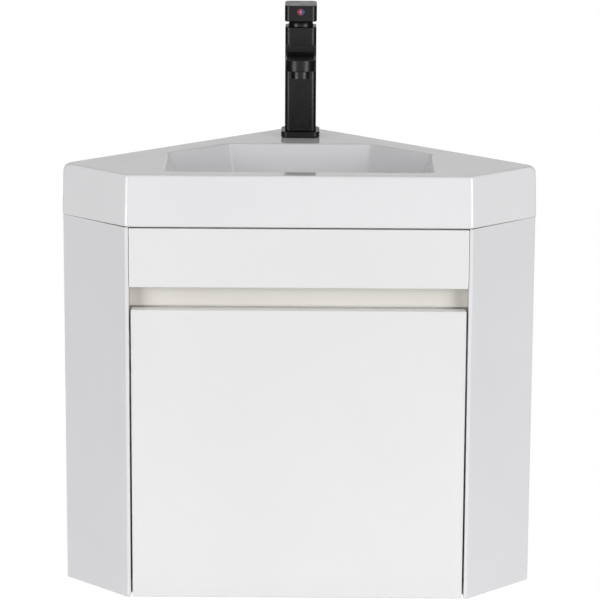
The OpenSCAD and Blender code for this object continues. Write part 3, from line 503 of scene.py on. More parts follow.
def node_group_of(name, inputs):
    """Geometry tree with named inputs; returns it with the inputs' identifiers and the two ends' sockets."""
    tree = bpy.data.node_groups.new(name, "GeometryNodeTree")
    tree.interface.new_socket("Geometry", in_out="OUTPUT", socket_type="NodeSocketGeometry")
    tree.interface.new_socket("Geometry", in_out="INPUT", socket_type="NodeSocketGeometry")
    keys = {}
    for label, kind in inputs.items():
        socket = tree.interface.new_socket(label, in_out="INPUT", socket_type="NodeSocket" + kind)
        keys[label] = socket.identifier
    return tree, keys, tree.nodes.new("NodeGroupInput").outputs, tree.nodes.new("NodeGroupOutput").inputs


def grown(name, tree, keys, values, points=()):
    """Plain mesh made by a geometry tree from points, each a place and a direction in mm."""
    seed = bpy.data.meshes.new(name + "_points")
    seed.from_pydata([Vector(p) * mm for p, _ in points], [], [])
    aims = seed.attributes.new("aim", "FLOAT_VECTOR", "POINT")
    for i, (_, aim) in enumerate(points):
        aims.data[i].vector = Vector(aim).normalized()
    maker = new_object(name + "_maker", seed)
    modifier = maker.modifiers.new("made_by_rule", "NODES")
    modifier.node_group = tree
    for label, value in values.items():
        modifier[keys[label]] = value
    mesh = bpy.data.meshes.new_from_object(maker.evaluated_get(bpy.context.evaluated_depsgraph_get()))
    bpy.data.objects.remove(maker)
    return mesh


def ended(tree, ends, geometry, finish):
    """Ends a tree in Realize Instances and Set Material."""
    real = made(tree, "GeometryNodeRealizeInstances", geometry)
    tree.links.new(made(tree, "GeometryNodeSetMaterial", real, None, finish), ends["Geometry"])


def moved_up(tree, geometry, z):
    return made(tree, "GeometryNodeTransform", geometry, made(tree, "ShaderNodeCombineXYZ", 0.0, 0.0, z))


def cone(tree, low_r, high_r, low_z, high_z, sides):
    """Closed cone or cylinder along z between two heights; each value is a number or a node's output."""
    height = maths(tree, "SUBTRACT", high_z, low_z)
    return moved_up(tree, made(tree, "GeometryNodeMeshCone", sides, None, None, high_r, low_r, height), low_z)


def boolean(tree, operation, first, *others):
    """A difference takes the others away from the first mesh, and a union joins them all."""
    node = tree.nodes.new("GeometryNodeMeshBoolean")
    node.operation = operation
    tree.links.new(first, node.inputs["Mesh 1" if operation == "DIFFERENCE" else "Mesh 2"])
    for other in others:
        tree.links.new(other, node.inputs["Mesh 2"])
    return node.outputs["Mesh"]


screw_inputs = dict.fromkeys(("Length", "Shank", "Head", "Head Height"), "Float")
screw_inputs["Finish"] = "Material"
screw_tree, screw_keys, given, ends = node_group_of("pan_head_screws", screw_inputs)
tree = screw_tree
head_r = maths(tree, "MULTIPLY", given["Head"], 0.5)
shank_r = maths(tree, "MULTIPLY", given["Shank"], 0.5)
crown_r = maths(tree, "MULTIPLY", head_r, crown_share)
neck_z = maths(tree, "MULTIPLY", given["Head Height"], neck_share)
tip_z = maths(tree, "MULTIPLY", given["Length"], -1.0)
point_z = maths(tree, "ADD", tip_z, screw_point * mm)
point_r = maths(tree, "MULTIPLY", shank_r, tip_share)
brim = cone(tree, head_r, head_r, 0.0, neck_z, 24)
crown = cone(tree, head_r, crown_r, neck_z, given["Head Height"], 24)
shank = cone(tree, shank_r, shank_r, point_z, shank_into_head * mm, 12)
point = cone(tree, point_r, shank_r, tip_z, point_z, 12)
slots = []
for long_x, long_y in ((recess_long, recess_wide), (recess_wide, recess_long)):
    box = made(tree, "GeometryNodeMeshCube", (long_x * mm, long_y * mm, recess_box * mm))
    slots.append(moved_up(tree, box, given["Head Height"]))
screw = boolean(tree, "DIFFERENCE", boolean(tree, "UNION", brim, crown, shank, point), *slots)
aim = made(tree, "GeometryNodeInputNamedAttribute", "aim", data_type="FLOAT_VECTOR")
facing = made(tree, "FunctionNodeAlignRotationToVector", None, None, aim, axis="Z")
copies = made(tree, "GeometryNodeInstanceOnPoints", given["Geometry"], None, screw, None, None, facing)
ended(tree, ends, copies, given["Finish"])


def screw_set(name, points, length, body, node):
    """Row of screws, each with its head's seat at a point in mm and its head facing a direction."""
    values = {
        "Length": length * mm, "Shank": screw_shank * mm, "Head": screw_head * mm,
        "Head Height": screw_head_h * mm, "Finish": plated,
    }
    mesh = grown(name, screw_tree, screw_keys, values, points)
    placed(name, mesh, [plated], body, [node], 35)


fascia_low, fascia_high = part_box("fascia")
fascia_screw_z = (fascia_low.z + rail_high.z) / 2 / mm
fascia_screw_x = (-150, -50, 50, 150)
points = [((x, rail_back_y, fascia_screw_z), (0, 1, 0)) for x in fascia_screw_x]
screw_set("fascia_screw_set", points, 29.0, "cabinet", "fascia_screws")

# ---- Corner brackets ----
# Two bent steel plates in the blunt corners behind the recess rail. Zinc plated, 2 mm thick, each held
# by four screws: two into the rail and two into the side panel.

from_cad("rail_brackets", "bent", plated, 0.4)

bracket_t = 2.0
bracket_screw_in = 19.0
bracket_screw_up = (15, 45)
bracket_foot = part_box("rail_brackets")[0].z / mm
corner_x = inner_x(rail_back_y)
points = []
for side in (-1, 1):
    for up in bracket_screw_up:
        z = bracket_foot + up
        points.append(((side * (corner_x - bracket_screw_in), rail_back_y + bracket_t, z), (0, 1, 0)))
        along_panel = (bracket_screw_in - bracket_t) / root2
        off_panel = (bracket_screw_in + bracket_t) / root2
        points.append(((side * (corner_x + along_panel), rail_back_y + off_panel, z), (-side, 1, 0)))
screw_set("bracket_screw_set", points, 14.0, "cabinet", "bracket_screws")

# ---- Fascia ----
# The fixed front board above the finger recess. High-gloss white lacquer over 18 mm fibreboard, with
# softly rounded edges. It is screwed on from behind through the rail.

board_inputs = {"Size": "Vector", "Centre": "Vector", "Edge Radius": "Float", "Finish": "Material"}
board_tree, board_keys, given, ends = node_group_of("rounded_board", board_inputs)


def vectors(operation, *values):
    """Vector maths in the board's tree; each value is a number, a vector or a node's output."""
    if operation == "SCALE":
        values = (values[0], None, None, values[1])
    return made(board_tree, "ShaderNodeVectorMath", *values, operation=operation)


# A cube with 10 rows of points a side: the 5 rows of each half bend into an edge, and what lies between the
# halves stays flat.
rows = 10
arc_rows = rows // 2 - 1
blank = made(board_tree, "GeometryNodeMeshCube", (2, 2, 2), rows, rows, rows)
where = made(board_tree, "GeometryNodeInputPosition")
share = vectors("MULTIPLY", vectors("ABSOLUTE", where), ((rows - 1) / (2 * arc_rows),) * 3)
share = vectors("SUBTRACT", share, (1 / (2 * arc_rows),) * 3)
reach = vectors("TANGENT", vectors("MULTIPLY", share, (math.pi / 4,) * 3))
sign = vectors("SIGN", where)
radius = given["Edge Radius"]
inset = made(board_tree, "ShaderNodeCombineXYZ", radius, radius, radius)
core = vectors("MULTIPLY", vectors("SUBTRACT", vectors("SCALE", given["Size"], 0.5), inset), sign)
out = vectors("NORMALIZE", vectors("MULTIPLY", reach, sign))
bent = vectors("ADD", vectors("ADD", core, vectors("SCALE", out, radius)), given["Centre"])
ended(board_tree, ends, made(board_tree, "GeometryNodeSetPosition", blank, None, bent), given["Finish"])


def rounded_board(name, low, high, edge_r, finish):
    values = {"Size": high - low, "Centre": (high + low) / 2, "Edge Radius": edge_r * mm, "Finish": finish}
    return grown(name, board_tree, board_keys, values)


# High-gloss lacquer, polished: an almost flat film with faint waves, dust nibs and wiping haze.
front_lacquer = plain_finish(
    "front_lacquer", tone=(0.22, 3), dark=(0.872, 0.872, 0.872), light=(0.892, 0.892, 0.892),
    rough=(0.06, 5, 0.05, 0.13, (1.0, 1.0, 0.3)), waves=(0.012, 1, 0.000004),
    grain=(0.0014, 2), depth=0.000004, IOR=1.5, Coat_Weight=0.6, Coat_Roughness=0.02,
)

fascia_edge_r = 1.0
mesh = rounded_board("fascia", fascia_low, fascia_high, fascia_edge_r, front_lacquer)
placed("fascia_lacquered", mesh, [front_lacquer], "cabinet", ["fascia"])

# ---- Shelf ----
# A loose melamine shelf, cut away at the back for the pipes. It lies on six plain steel pins, which are
# pushed into holes in the side panels and in the low back boards.

shelf_low, shelf_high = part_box("shelf")
shelf_front_y = rail_y + 26.0
shelf_back_y = corner_y - 140.0
shelf_off = 17.0
shelf_gap = 1.0
shelf_edge_r = 0.5
shelf_plan = mirrored_plan([
    (corner_y - shelf_back_y - root2 * shelf_off, shelf_back_y),
    wall_pt(inner - shelf_gap, -shelf_off),
    (inner_x(shelf_front_y, shelf_gap), shelf_front_y),
])
bm = slab(shelf_plan, shelf_low.z / mm, shelf_high.z / mm, shelf_edge_r, shelf_edge_r, 2)
finished("shelf_board", bm, [melamine], "cabinet", ["shelf"])
from_cad("shelf_pins", "turned", plated, 0.5)

# ---- Door and its stops ----
# One flat door in the fascia's lacquer, without a handle: it is pulled by its top edge, which is eased
# behind for the fingers. Its satin back has two drilled hinge cups. Two clear dots soften its closing.

door_back = door_high.y / mm
door_edge_r = 1.8
finger_bevel = 1.0
hinge_heights = (88.0, 278.0)
cup_r = 17.5
cup_deep = 11.6
cup_x = door_low.x / mm + 5.0 + cup_r


def add_drill(bm, x, y, z, r, depth, sides):
    """Adds a cylinder along y round a point; all in mm."""
    place = Matrix.Translation((x * mm, y * mm, z * mm)) @ turn(90, "X")
    bmesh.ops.create_cone(
        bm, cap_ends=True, segments=sides, radius1=r * mm, radius2=r * mm, depth=depth * mm, matrix=place,
    )


door_cutter = bmesh.new()
for z in hinge_heights:
    add_drill(door_cutter, cup_x, door_back, z, cup_r, 2 * cup_deep, 64)
bevel_side = [
    (door_back - finger_bevel - past, door_top + past),
    (door_back + past, door_top - finger_bevel - past),
    (door_back + past, door_top + past),
]
add_prism(door_cutter, bevel_side, door_low.x / mm - past, door_high.x / mm + past)

# The back of the door: sprayed once and not polished.
back_lacquer = plain_finish(
    "back_lacquer", tone=(0.1, 3), dark=(0.83, 0.828, 0.815), light=(0.85, 0.848, 0.838),
    rough=(0.02, 4, 0.3, 0.42), grain=(0.0012, 2), depth=0.00002, IOR=1.46,
)

mesh = carved(rounded_board("door", door_low, door_high, door_edge_r, front_lacquer), door_cutter)
door = placed("door_lacquered", mesh, [front_lacquer, back_lacquer], "door", ["door"])
for face in door.data.polygons:
    behind = face.center.y > (door_back - cup_deep - 0.2) * mm
    face.material_index = int(behind and abs(face.normal.y) > 0.9)

soft_dot = plain_finish(
    "clear_bumper", tone=(0.003, 2), dark=(0.86, 0.86, 0.84), light=(0.93, 0.93, 0.91),
    rough=(0.002, 3, 0.2, 0.34), grain=(0.0008, 2), depth=0.00001, IOR=1.5, Transmission_Weight=0.55,
)
from_cad("door_bumpers", "moulded", soft_dot, 0.5)

# ---- Hinges ----
# Two concealed hinges of nickel-plated pressed steel. The cup sits in the door, the arm clips on a
# mounting plate on the left side panel, and the cranked link joins them and carries the door round.

drawn = (0.0008, 3, 0.14, 0.3, (0.3, 1.0, 1.0))
nickel = plain_finish(
    "nickel_plate", tone=(0.008, 3), dark=(0.60, 0.59, 0.565), light=(0.70, 0.69, 0.665),
    rough=drawn, grain=drawn, depth=0.000005, Metallic=1.0,
)

for part, body, edge_r in (
    ("cup", "door", 0.25),
    ("link", "hinge_links", 0.25),
    ("arm", "cabinet", 0.3),
    ("plate", "cabinet", 0.5),
):
    for level in ("lower", "upper"):
        from_cad(f"hinge_{part}_{level}", "pressed", nickel, edge_r, body)

cup_flange = 1.2
cup_screw_up = 22.5
plate_t = 4.0
plate_screw_along = (17.0, 45.0)
plate_screw_up = 18.0
cup_points = []
plate_points = []
for z in hinge_heights:
    for up in (-cup_screw_up, cup_screw_up):
        cup_points.append(((cup_x, door_back + cup_flange, z + up), (0, 1, 0)))
    for along in plate_screw_along:
        x = -nose_x + (plate_t - along) / root2
        y = notch_y + (plate_t + along) / root2
        for up in (-plate_screw_up, plate_screw_up):
            plate_points.append(((x, y, z + up), (1, 1, 0)))
screw_set("hinge_cup_screw_set", cup_points, 12.0, "door", "hinge_cup_screws")
screw_set("hinge_plate_screw_set", plate_points, 14.0, "cabinet", "hinge_plate_screws")

# ---- Basin ----
# One casting of mineral-filled resin under a glossy white gelcoat. It is a hollow skirt and a flat deck
# with a deep bowl, softly rounded at every edge, and it rests on the cabinet's top edges.

deck_t = 14.0
deck_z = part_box("basin")[1].z / mm
deck_under_z = deck_z - deck_t
basin_side = wall_side + 4.0
basin_front_y = front_y - 2.0
basin_toe_in = 5.0
basin_lean = 2.5 / basin_side
basin_plan = mirrored_plan([
    wall_pt(0),
    wall_pt(basin_side),
    (root2 * basin_side + basin_front_y - corner_y - basin_toe_in, basin_front_y),
])
front_corner_r = 10.0
wall_corner_r = 6.0
soft_corner = 9.0
deck_edge_r = 3.4
foot_r = 2.2
skirt_t = 12.0
skirt_chamfer = 0.6
skirt_inner_r = 3.0
skirt_root_r = 5.0

bowl_depth = 110.0
bowl_floor_t = 9.0
bowl_floor_z = deck_z - bowl_depth
bowl_under_z = bowl_floor_z - bowl_floor_t
bowl_back = 140.0
bowl_rim = 37.0
bowl_half_w = 160.0
front_rim = 28.5
bowl_draw_in = 40.0
bowl_wall = 4.5
rim_r = 3.6
floor_r = 20.0
deck_root_r = 6.0
crease_r = 6.0
bowl_corner_r = 13.0
bowl_corner_gain = 17.0
bowl_corner_reach = 54.0
under_corner_r = 19.0
under_corner_gain = 11.0
under_corner_reach = 58.5

waste_y = corner_y - 238.0
waste_hole_r = 22.95
waste_hole_edge = 0.8
seat_r = 33.0
tap_y = corner_y - 77.0
tap_hole_r = 17.5


def basin_ring(bm, d, z, r=None):
    """Ring of the skirt, drawn in by d. The outside has no r: it leans back and grows rounder as it rises."""
    radii, scale = [r] * len(basin_plan), 1.0
    if r is None:
        scale -= basin_lean * (z - cabinet_h) / (deck_z - cabinet_h)
        rounder = soft_corner * max(0.0, 1 - (deck_z - z) / soft_corner) ** 2
        radii = [front_corner_r if y < basin_front_y + 1 else wall_corner_r + rounder for x, y in basin_plan]
        radii = [max(corner_r - d, 0.5) for corner_r in radii]
    plan = rounded_plan(drawn_in(basin_plan, d), radii, 6)
    return add_ring(bm, [(x * scale, corner_y + (y - corner_y) * scale) for x, y in plan], z)


def bowl_ring(bm, d, z, r):
    """Ring of the bowl, drawn in by d; the two corners of its back wall are the tight ones."""
    back, slant, side = bowl_back + d, root2 * (bowl_rim + d), bowl_half_w - d
    pts = mirrored_plan([
        (back - slant, corner_y - back),
        (side, corner_y - side - slant),
        (side, basin_front_y + front_rim + d),
    ])
    tight = crease_r + (r - crease_r) * max(d, 0) / bowl_back
    radii = [tight if y > corner_y - back - 1 else r for x, y in pts]
    return add_ring(bm, rounded_plan(pts, radii, 8, 8), z)


def circle(bm, y, r, z, like=48):
    """Circle of vertices round (0, y); like is a count, or a ring whose points it faces."""
    if isinstance(like, int):
        angles = [2 * math.pi * k / like for k in range(like)]
    else:
        angles = [math.atan2(v.co.y / mm - y, v.co.x / mm) for v in like]
    return add_ring(bm, [(r * math.cos(t), y + r * math.sin(t)) for t in angles], z)


def filled_between(bm, *rings):
    """Flat face between closed rings, the first round the others."""
    edges = []
    for ring in rings:
        for a, b in zip(ring, ring[1:] + ring[:1]):
            edges.append(bm.edges.get((a, b)) or bm.edges.new((a, b)))
    bmesh.ops.triangle_fill(bm, use_beauty=True, use_dissolve=False, edges=edges, normal=(0, 0, 1))


# Outside of the skirt, from the deck's rounded edge down to the foot, and up again inside
bm = bmesh.new()
far = 90.0
skirt = [basin_ring(bm, d, deck_z - down) for d, down in quarter_round(deck_edge_r, 6)]
skirt += [basin_ring(bm, 0.0, deck_z - down) for down in (5.0, 7.0, 9.0)]
skirt += [basin_ring(bm, d, cabinet_h + up) for up, d in quarter_round(foot_r, 3)]
skirt.append(basin_ring(bm, skirt_t - skirt_chamfer, cabinet_h, skirt_inner_r))
skirt.append(basin_ring(bm, skirt_t, cabinet_h + skirt_chamfer, skirt_inner_r))
skirt_root = corner_arc((skirt_t, cabinet_h), (skirt_t, deck_under_z), (far, deck_under_z), skirt_root_r, 4)
for d, z in skirt_root:
    skirt.append(basin_ring(bm, d, z, skirt_inner_r))
join_rings(bm, skirt)

# Inside of the bowl from its rim to the floor, then flat round the waste's hole and down through it. Its
# corners' radius grows from the rim to the floor.
rim_arc = corner_arc((-far, deck_z), (0, deck_z), (bowl_draw_in, bowl_floor_z), rim_r, 6)
floor_arc = corner_arc((0, deck_z), (bowl_draw_in, bowl_floor_z), (far, bowl_floor_z), floor_r, 10)
bowl = []
for d, z in rim_arc + floor_arc:
    bowl.append(bowl_ring(bm, d, z, bowl_corner_r + bowl_corner_gain * max(d, 0) / bowl_corner_reach))
foot_ring = bowl[-1]
for share in (0.3, 0.6, 0.85):
    ring = circle(bm, waste_y, seat_r, bowl_floor_z, foot_ring)
    for v, w in zip(ring, foot_ring):
        v.co = w.co.lerp(v.co, share)
    bowl.append(ring)
for r, z in (
    (seat_r, bowl_floor_z),
    (waste_hole_r + waste_hole_edge, bowl_floor_z),
    (waste_hole_r, bowl_floor_z - waste_hole_edge),
    (waste_hole_r, bowl_under_z),
):
    bowl.append(circle(bm, waste_y, r, z, bowl[-1]))

# Underside of the bowl, from the waste's hole back up to the deck
under_d = 33.7
under_r = floor_r + bowl_floor_t
heel_pt, root_pt = (under_d, bowl_under_z), (-bowl_wall, deck_under_z)
under_arc = corner_arc((far, bowl_under_z), heel_pt, root_pt, under_r, 8)
root_arc = corner_arc(heel_pt, root_pt, (-far, deck_under_z), deck_root_r, 4)
for d, z in under_arc + root_arc:
    grown_r = under_corner_r + under_corner_gain * max(d + bowl_wall, 0) / under_corner_reach
    bowl.append(bowl_ring(bm, d, z, grown_r))
join_rings(bm, bowl)
tap_hole = [circle(bm, tap_y, tap_hole_r, z) for z in (deck_z, deck_under_z)]
join_rings(bm, tap_hole)
filled_between(bm, skirt[0], bowl[0], tap_hole[0])
filled_between(bm, skirt[-1], bowl[-1], tap_hole[-1])

# Gelcoat: cold glossy white, very slightly wavy from the mould, with water haze in the bowl.
gelcoat = plain_finish(
    "gelcoat", tone=(0.14, 3), dark=(0.876, 0.873, 0.889), light=(0.893, 0.890, 0.906),
    rough=(0.03, 5, 0.07, 0.16), waves=(0.02, 1, 0.00002), grain=(0.0011, 2), depth=0.000004, IOR=1.5,
)
finished("basin_cast", bm, [gelcoat], "cabinet", ["basin"], 40)

# ---- Waste ----
# A press-down waste of chrome-plated brass. Its rim lies on the bowl's floor, its threaded tail goes
# through the hole, and a washer and a plastic nut pull it tight from below. The plug is a shallow dome.

seat_z = bowl_floor_z + 0.8
tail_end_z = bowl_floor_z - 78.0
tail_r = 20.95
tail_bore_r = 18.35
thread_r = 20.05
waste_rim_r = 31.5
cap_z = seat_z + 3.3
cap_t = 2.0
cap_r = 29.0
dome_h = 3.0
plug_stem_r = 4.0
plug_hub_r = 10.0
plug_hub_h = 5.0
turned_sides = 72


def turned(profile, y, closed=False):
    """Mesh data turned round an upright axis at (0, y); the profile runs as (radius, height)."""
    bm = bmesh.new()
    rings = [circle(bm, y, max(r, 0.0005), z, turned_sides) for r, z in profile]
    join_rings(bm, rings, closed)
    if not closed:
        bm.faces.new(list(reversed(rings[0])))
        bm.faces.new(rings[-1])
    return bm


def eased(profile, r, steps, closed=False):
    """Profile with its corners rounded; the two ends of an open one stay."""
    result = []
    for i, b in enumerate(profile):
        if not closed and i in (0, len(profile) - 1):
            result.append(b)
            continue
        a, c = profile[i - 1], profile[(i + 1) % len(profile)]
        room = min((Vector(b) - Vector(a)).length, (Vector(c) - Vector(b)).length) * 0.45
        u, v = (Vector(a) - Vector(b)).normalized(), (Vector(c) - Vector(b)).normalized()
        half = math.acos(max(-1.0, min(1.0, u.dot(v)))) / 2
        result += corner_arc(a, b, c, min(r, room * math.tan(half)), steps)
    return result


# Chrome: a mirror with faint water spots and fine circular polishing.
chrome = plain_finish(
    "waste_chrome", tone=(0.006, 4), dark=(0.72, 0.725, 0.74), light=(0.80, 0.805, 0.82),
    rough=(0.003, 4, 0.04, 0.12), grain=(0.0012, 2), depth=0.000003, Metallic=1.0,
)

body_profile = [
    (tail_bore_r, tail_end_z), (tail_r, tail_end_z), (tail_r, tail_end_z + 28), (thread_r, tail_end_z + 28.6),
    (thread_r, tail_end_z + 29.4), (tail_r, tail_end_z + 30), (tail_r, seat_z), (waste_rim_r, seat_z),
    (waste_rim_r, seat_z + 1.2), (29.6, seat_z + 3), (21.5, seat_z + 3), (tail_bore_r, seat_z + 1.4),
]
bm = turned(eased(body_profile, 0.5, 2, True), waste_y, True)
finished("waste_body_turned", bm, [chrome], "cabinet", ["waste_body"], 40)

plug_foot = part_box("waste_plug")[0].z / mm
plug_profile = [
    (0, plug_foot), (plug_stem_r, plug_foot), (plug_stem_r, cap_z - plug_hub_h),
    (plug_hub_r, cap_z - plug_hub_h), (plug_hub_r, cap_z), (cap_r, cap_z), (cap_r, cap_z + cap_t),
]
shares = [k / 12 for k in range(1, 13)]
dome = [(cap_r * (1 - t), cap_z + cap_t + dome_h * t * (2 - t)) for t in shares]
brow = corner_arc((cap_r, cap_z), (cap_r, cap_z + cap_t), dome[1], 0.9, 4)
bm = turned(eased(plug_profile, 0.5, 3)[:-1] + brow + dome[1:], waste_y)
finished("waste_plug_domed", bm, [chrome], "plug", ["waste_plug"], 40)

# Rubber seals and the ribbed white nut, which show only from inside the cabinet.
rubber = plain_finish(
    "seal_rubber", tone=(0.006, 5), dark=(0.018, 0.018, 0.019), light=(0.045, 0.044, 0.043),
    rough=(0.002, 3, 0.55, 0.75), grain=(0.0008, 3), depth=0.00005, Specular_IOR_Level=0.35,
)
white_plastic = plain_finish(
    "moulded_white", tone=(0.008, 3), dark=(0.74, 0.735, 0.71), light=(0.80, 0.795, 0.77),
    rough=(0.0015, 3, 0.34, 0.5), grain=(0.0006, 2), depth=0.00002, IOR=1.47,
)
for node in ("waste_seal", "waste_washer"):
    from_cad(node, "cut", rubber, 0.2)
for node in ("waste_nut", "waste_guide"):
    from_cad(node, "moulded", white_plastic, 0.4)

# ---- Tap ----
# A single-lever mixer cast in brass and coated satin black. A square body with a flat spout stands on a
# square base plate. The base and body are pulled down on the deck by a stud, clamp and nut below it.

base_half = 24.0
base_z = deck_z + 1.0
base_top = deck_z + 8.0
base_corner_r = 9.0
base_edge_r = 1.3
body_half = 19.4
body_top = deck_z + 138.8
body_corner_r = 7.0
body_edge_r = 1.1
spout_w = 36.6
spout_reach = 95.0
spout_mid_z = deck_z + 96.4
spout_half_t = 7.1
spout_slope = 2.7
slope = math.radians(spout_slope)


def block_plan(w, back, front):
    """Counter-clockwise rectangle round the tap's axis, from its half width and its reach both ways."""
    return [(w, tap_y + back), (-w, tap_y + back), (-w, tap_y - front), (w, tap_y - front)]


# Satin black powder coat: fine grain, a dull sheen, and slightly rubbed, dusty high spots.
tap_coat, tree, shader, place = new_finish("tap_coat", Specular_IOR_Level=0.36)
grain = cloud(tree, place, 0.0007, 3)
smears = cloud(tree, place, 0.02, 4, stretch=(1.0, 1.0, 0.4))
tint = blended(tree, smears, (0.0034, 0.0034, 0.0038), (0.0066, 0.0066, 0.0070))
dusty = blended(tree, maths(tree, "MULTIPLY", grain, 0.35), tint, (0.011, 0.011, 0.012))
tree.links.new(dusty, shader.inputs["Base Color"])
dull = maths(tree, "ADD", cloud(tree, place, 0.012, 4, 0.24, 0.33), maths(tree, "MULTIPLY", grain, 0.05))
tree.links.new(dull, shader.inputs["Roughness"])
relief(tree, shader, grain, 0.000008)

bm = slab(block_plan(base_half, base_half, base_half), base_z, base_top, base_edge_r, base_corner_r, 8)
finished("tap_base_cast", bm, [tap_coat], "cabinet", ["tap_base"], 40)
from_cad("tap_gasket", "cut", rubber, 0)
bm = slab(block_plan(body_half, body_half, body_half), base_top, body_top, body_edge_r, body_corner_r, 8)
body_mesh = as_mesh("tap_body", bm)

# The spout: straight sides, a round tip, and a hollow curve from its top up to the body
root_y = 0.4 - body_half
root_r = 13.0
curve_y = root_y - root_r
top_z = spout_mid_z + spout_half_t / math.cos(slope)
under_z = spout_mid_z - spout_half_t / math.cos(slope)
curve_z = top_z - curve_y * math.tan(slope) + root_r / math.cos(slope)
curve_end = curve_y + root_r * math.sin(slope)
tip_y = -(spout_reach - spout_w / 2)
stations = [-12.0]
stations += [curve_y + root_r * math.cos(math.radians(a)) for a in range(0, 88, 6)]
stations += [curve_end, -46.0, -61.0]


def spout_top(x, y):
    y = y - tap_y
    if y <= curve_end:
        return top_z - y * math.tan(slope)
    return curve_z - math.sqrt(max(root_r ** 2 - (min(y, root_y) - curve_y) ** 2, 0.0))


def spout_under(x, y):
    return under_z - (y - tap_y) * math.tan(slope)


def spout_ring(bm, d, surface, up):
    """Ring of the spout's outline, drawn in by d, at a height above its top or its underside."""
    r = spout_w / 2 - d
    tip = [(r * math.cos(math.pi * k / 20), tip_y - r * math.sin(math.pi * k / 20)) for k in range(21)]
    outline = [(r, y) for y in stations] + tip + [(-r, y) for y in reversed(stations)]
    return add_ring(bm, [(x, y + tap_y) for x, y in outline], lambda x, y: surface(x, y) + up)


def capped_across(bm, ring):
    """Closes a mirror-symmetric ring with strips from side to side."""
    count = len(ring)
    middle = count // 2
    for i in range(middle - 1):
        bm.faces.new((ring[i], ring[i + 1], ring[count - 2 - i], ring[count - 1 - i]))
    bm.faces.new((ring[middle - 1], ring[middle], ring[middle + 1]))


bm = bmesh.new()
rings = [spout_ring(bm, d, spout_under, up) for d, up in quarter_round(body_edge_r, 4)]
rings += [spout_ring(bm, d, spout_top, -down) for down, d in quarter_round(body_edge_r, 4)]
join_rings(bm, rings)
capped_across(bm, rings[0])
capped_across(bm, rings[-1])
mesh = carved(body_mesh, bm, "UNION")
placed("tap_body_cast", mesh, [tap_coat], "cabinet", ["tap_body"], 32)

# ---- Aerator ----
# A short screwed ring under the spout's tip, coated like the tap, with a white plastic jet insert. Two
# flats for a spanner are left out, because the photograph shows a plain round ring.

aerator_profile = [
    (8.6, -9.6), (10.2, -10.0), (12.0, -9.0), (12.0, 0.0), (10.9, 0.2), (10.9, 6.5), (6.6, 6.5), (6.6, -2.9),
    (8.6, -3.0),
]
bm = turned(eased(aerator_profile, 0.4, 2, True), 0, True)
to_tap = Matrix.Translation((0, tap_y * mm, spout_mid_z * mm))
to_tip = Matrix.Translation((0, tip_y * mm, -spout_half_t * mm))
bmesh.ops.transform(bm, matrix=to_tap @ turn(-spout_slope, "X") @ to_tip, verts=bm.verts)
finished("aerator_ring_turned", bm, [tap_coat], "cabinet", ["aerator_ring"], 40)
from_cad("aerator_insert", "moulded", white_plastic, 0.15)

# ---- Cartridge and neck ----
# A ceramic-disc cartridge fills the body's bore and is held by a brass ring nut. A round black cap covers
# it. Only the moving fork in its middle shows, and only when the lever is lifted.

cartridge_plastic = plain_finish(
    "cartridge_plastic", tone=(0.005, 3), dark=(0.62, 0.57, 0.45), light=(0.72, 0.67, 0.55),
    rough=(0.002, 3, 0.35, 0.5), grain=(0.0007, 2), depth=0.00002, IOR=1.5,
)
from_cad("cartridge", "moulded", cartridge_plastic, 0.3)
from_cad("cartridge_carrier", "moulded", cartridge_plastic, 0.3, "tap_spindle")

brass = plain_finish(
    "turned_brass", tone=(0.006, 3), dark=(0.62, 0.43, 0.17), light=(0.74, 0.55, 0.26),
    rough=(0.001, 3, 0.2, 0.36, (1.0, 1.0, 4.0)),
    grain=(0.0006, 2, 0.0, 1.0, (0.2, 0.2, 4.0)), depth=0.000012, Metallic=1.0,
)
from_cad("cartridge_nut", "turned", brass, 0.3)
from_cad("tap_nut", "turned", brass, 0.4)


def dome_arc(r, start, stop, step):
    """Arc of a ball's profile as (radius, height), between two angles above the horizon."""
    angles = [math.radians(a) for a in range(start, stop, step)]
    return [(r * math.cos(t), r * math.sin(t)) for t in angles]


neck_profile = dome_arc(15.4, 0, 47, 3) + [(10.62, 11.1), (10.6, 10.4)] + dome_arc(13.0, 35, -1, -5)
bm = turned([(r, body_top + z) for r, z in neck_profile], tap_y, True)
finished("neck_cap_turned", bm, [tap_coat], "cabinet", ["neck_cap"], 40)

# ---- Lever ----
# A square block with rounded upright edges, coated like the tap. A round hollow below it clears the neck.
# It is fixed on the cartridge's stem by a grub screw behind the small red and blue temperature mark.

lever_low, lever_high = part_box("lever")
lever_foot = lever_low.z / mm
hollow_r = 16.0
dot_low, dot_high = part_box("temperature_dot")
dot_z = (dot_low.z + dot_high.z) / 2 / mm
lever_half_w = 19.85
lever_front = 28.0
lever_back = 25.0
mark_bore_r = 4.75
mark_bore_deep = 2.4
lever_plan = block_plan(lever_half_w, lever_back, lever_front)
lever_mesh = as_mesh("lever", slab(lever_plan, lever_foot, lever_high.z / mm, base_edge_r, body_corner_r, 8))

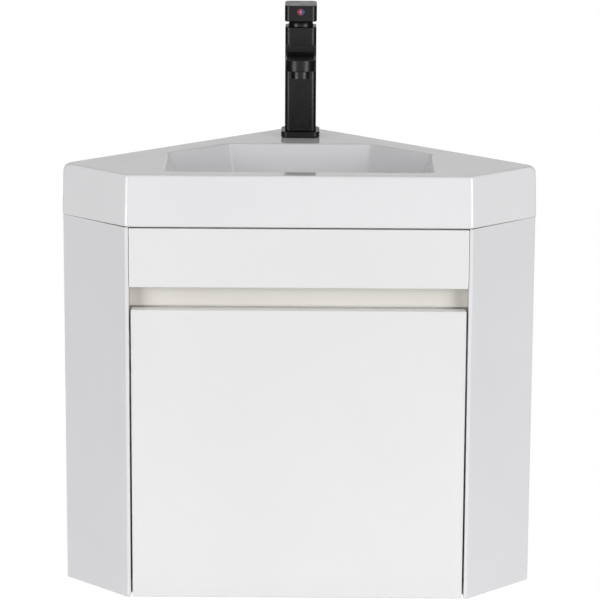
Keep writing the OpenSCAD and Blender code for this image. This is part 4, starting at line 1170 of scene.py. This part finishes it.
# Cut away are the hollow for the neck, the heel that would dip into the body, and the bore for the mark.
hollow = bmesh.new()
neck_centre = Matrix.Translation((0, tap_y * mm, body_top * mm))
bmesh.ops.create_uvsphere(hollow, u_segments=64, v_segments=48, radius=hollow_r * mm, matrix=neck_centre)
heel = bmesh.new()
heel_side = [(19.0, -3.0), (19.0, 0.0), (27.0, 8.0), (34.0, 8.0), (34.0, -3.0)]
add_prism(heel, [(tap_y + y, lever_foot + z) for y, z in heel_side], -26.0, 26.0)
mark_bore = bmesh.new()
add_drill(mark_bore, 0, tap_y - lever_front, dot_z, mark_bore_r, 2 * mark_bore_deep, 40)
for cutter in (hollow, heel, mark_bore):
    lever_mesh = carved(lever_mesh, cutter)
placed("lever_cast", lever_mesh, [tap_coat], "tap_lever", ["lever"], 32)

# The mark is a moulded plug whose pale middle is a painted highlight: its left half is red for hot and its
# right half blue for cold, and both darken outwards.
painted_highlight_r = 0.0009
dark_from = 0.002
dark_rate = 300.0
darkest = 0.85
mark, tree, shader, place = new_finish("temperature_mark", Coat_Weight=0.4, Coat_Roughness=0.05)
split = made(tree, "ShaderNodeSeparateXYZ", place)
cold = maths(tree, "GREATER_THAN", split, 0.0)
red = blended(tree, cloud(tree, place, 0.001, 2), (0.55, 0.008, 0.02), (0.68, 0.012, 0.03))
blue = blended(tree, cloud(tree, place, 0.001, 2), (0.015, 0.10, 0.26), (0.025, 0.14, 0.36))
middle = (0, dot_low.y, dot_z * mm)
away = made(tree, "ShaderNodeVectorMath", place, middle, operation="DISTANCE").node.outputs["Value"]
outside = maths(tree, "GREATER_THAN", away, painted_highlight_r)
darker = maths(tree, "MULTIPLY", maths(tree, "SUBTRACT", away, dark_from), dark_rate)
darker = maths(tree, "MINIMUM", maths(tree, "MAXIMUM", darker, 0.0), darkest)
halves = blended(tree, darker, blended(tree, cold, red, blue), (0.01, 0.01, 0.015))
# The pale grey in the middle of the mark is a painted highlight.
tree.links.new(blended(tree, outside, (0.50, 0.52, 0.55), halves), shader.inputs["Base Color"])
tree.links.new(cloud(tree, place, 0.0015, 2, 0.2, 0.34), shader.inputs["Roughness"])
relief(tree, shader, cloud(tree, place, 0.0005, 2), 0.00001)
from_cad("temperature_dot", "moulded", mark, 0.3, "tap_lever")

for node in ("cartridge_stem", "lever_grub_screw"):
    from_cad(node, "plated", plated, 0.2, "tap_lever")

# ---- Tap fixings under the deck ----
# A steel stud screwed into the body, a half-moon rubber ring and steel clamp with a mouth for the supply
# tails, and the brass nut above. They show from below, through the open back and behind the door.

from_cad("tap_stud", "plated", plated, 0.3)
from_cad("tap_clamp", "stamped", plated, 0.3)
from_cad("tap_seal_ring", "cut", rubber, 0.3)
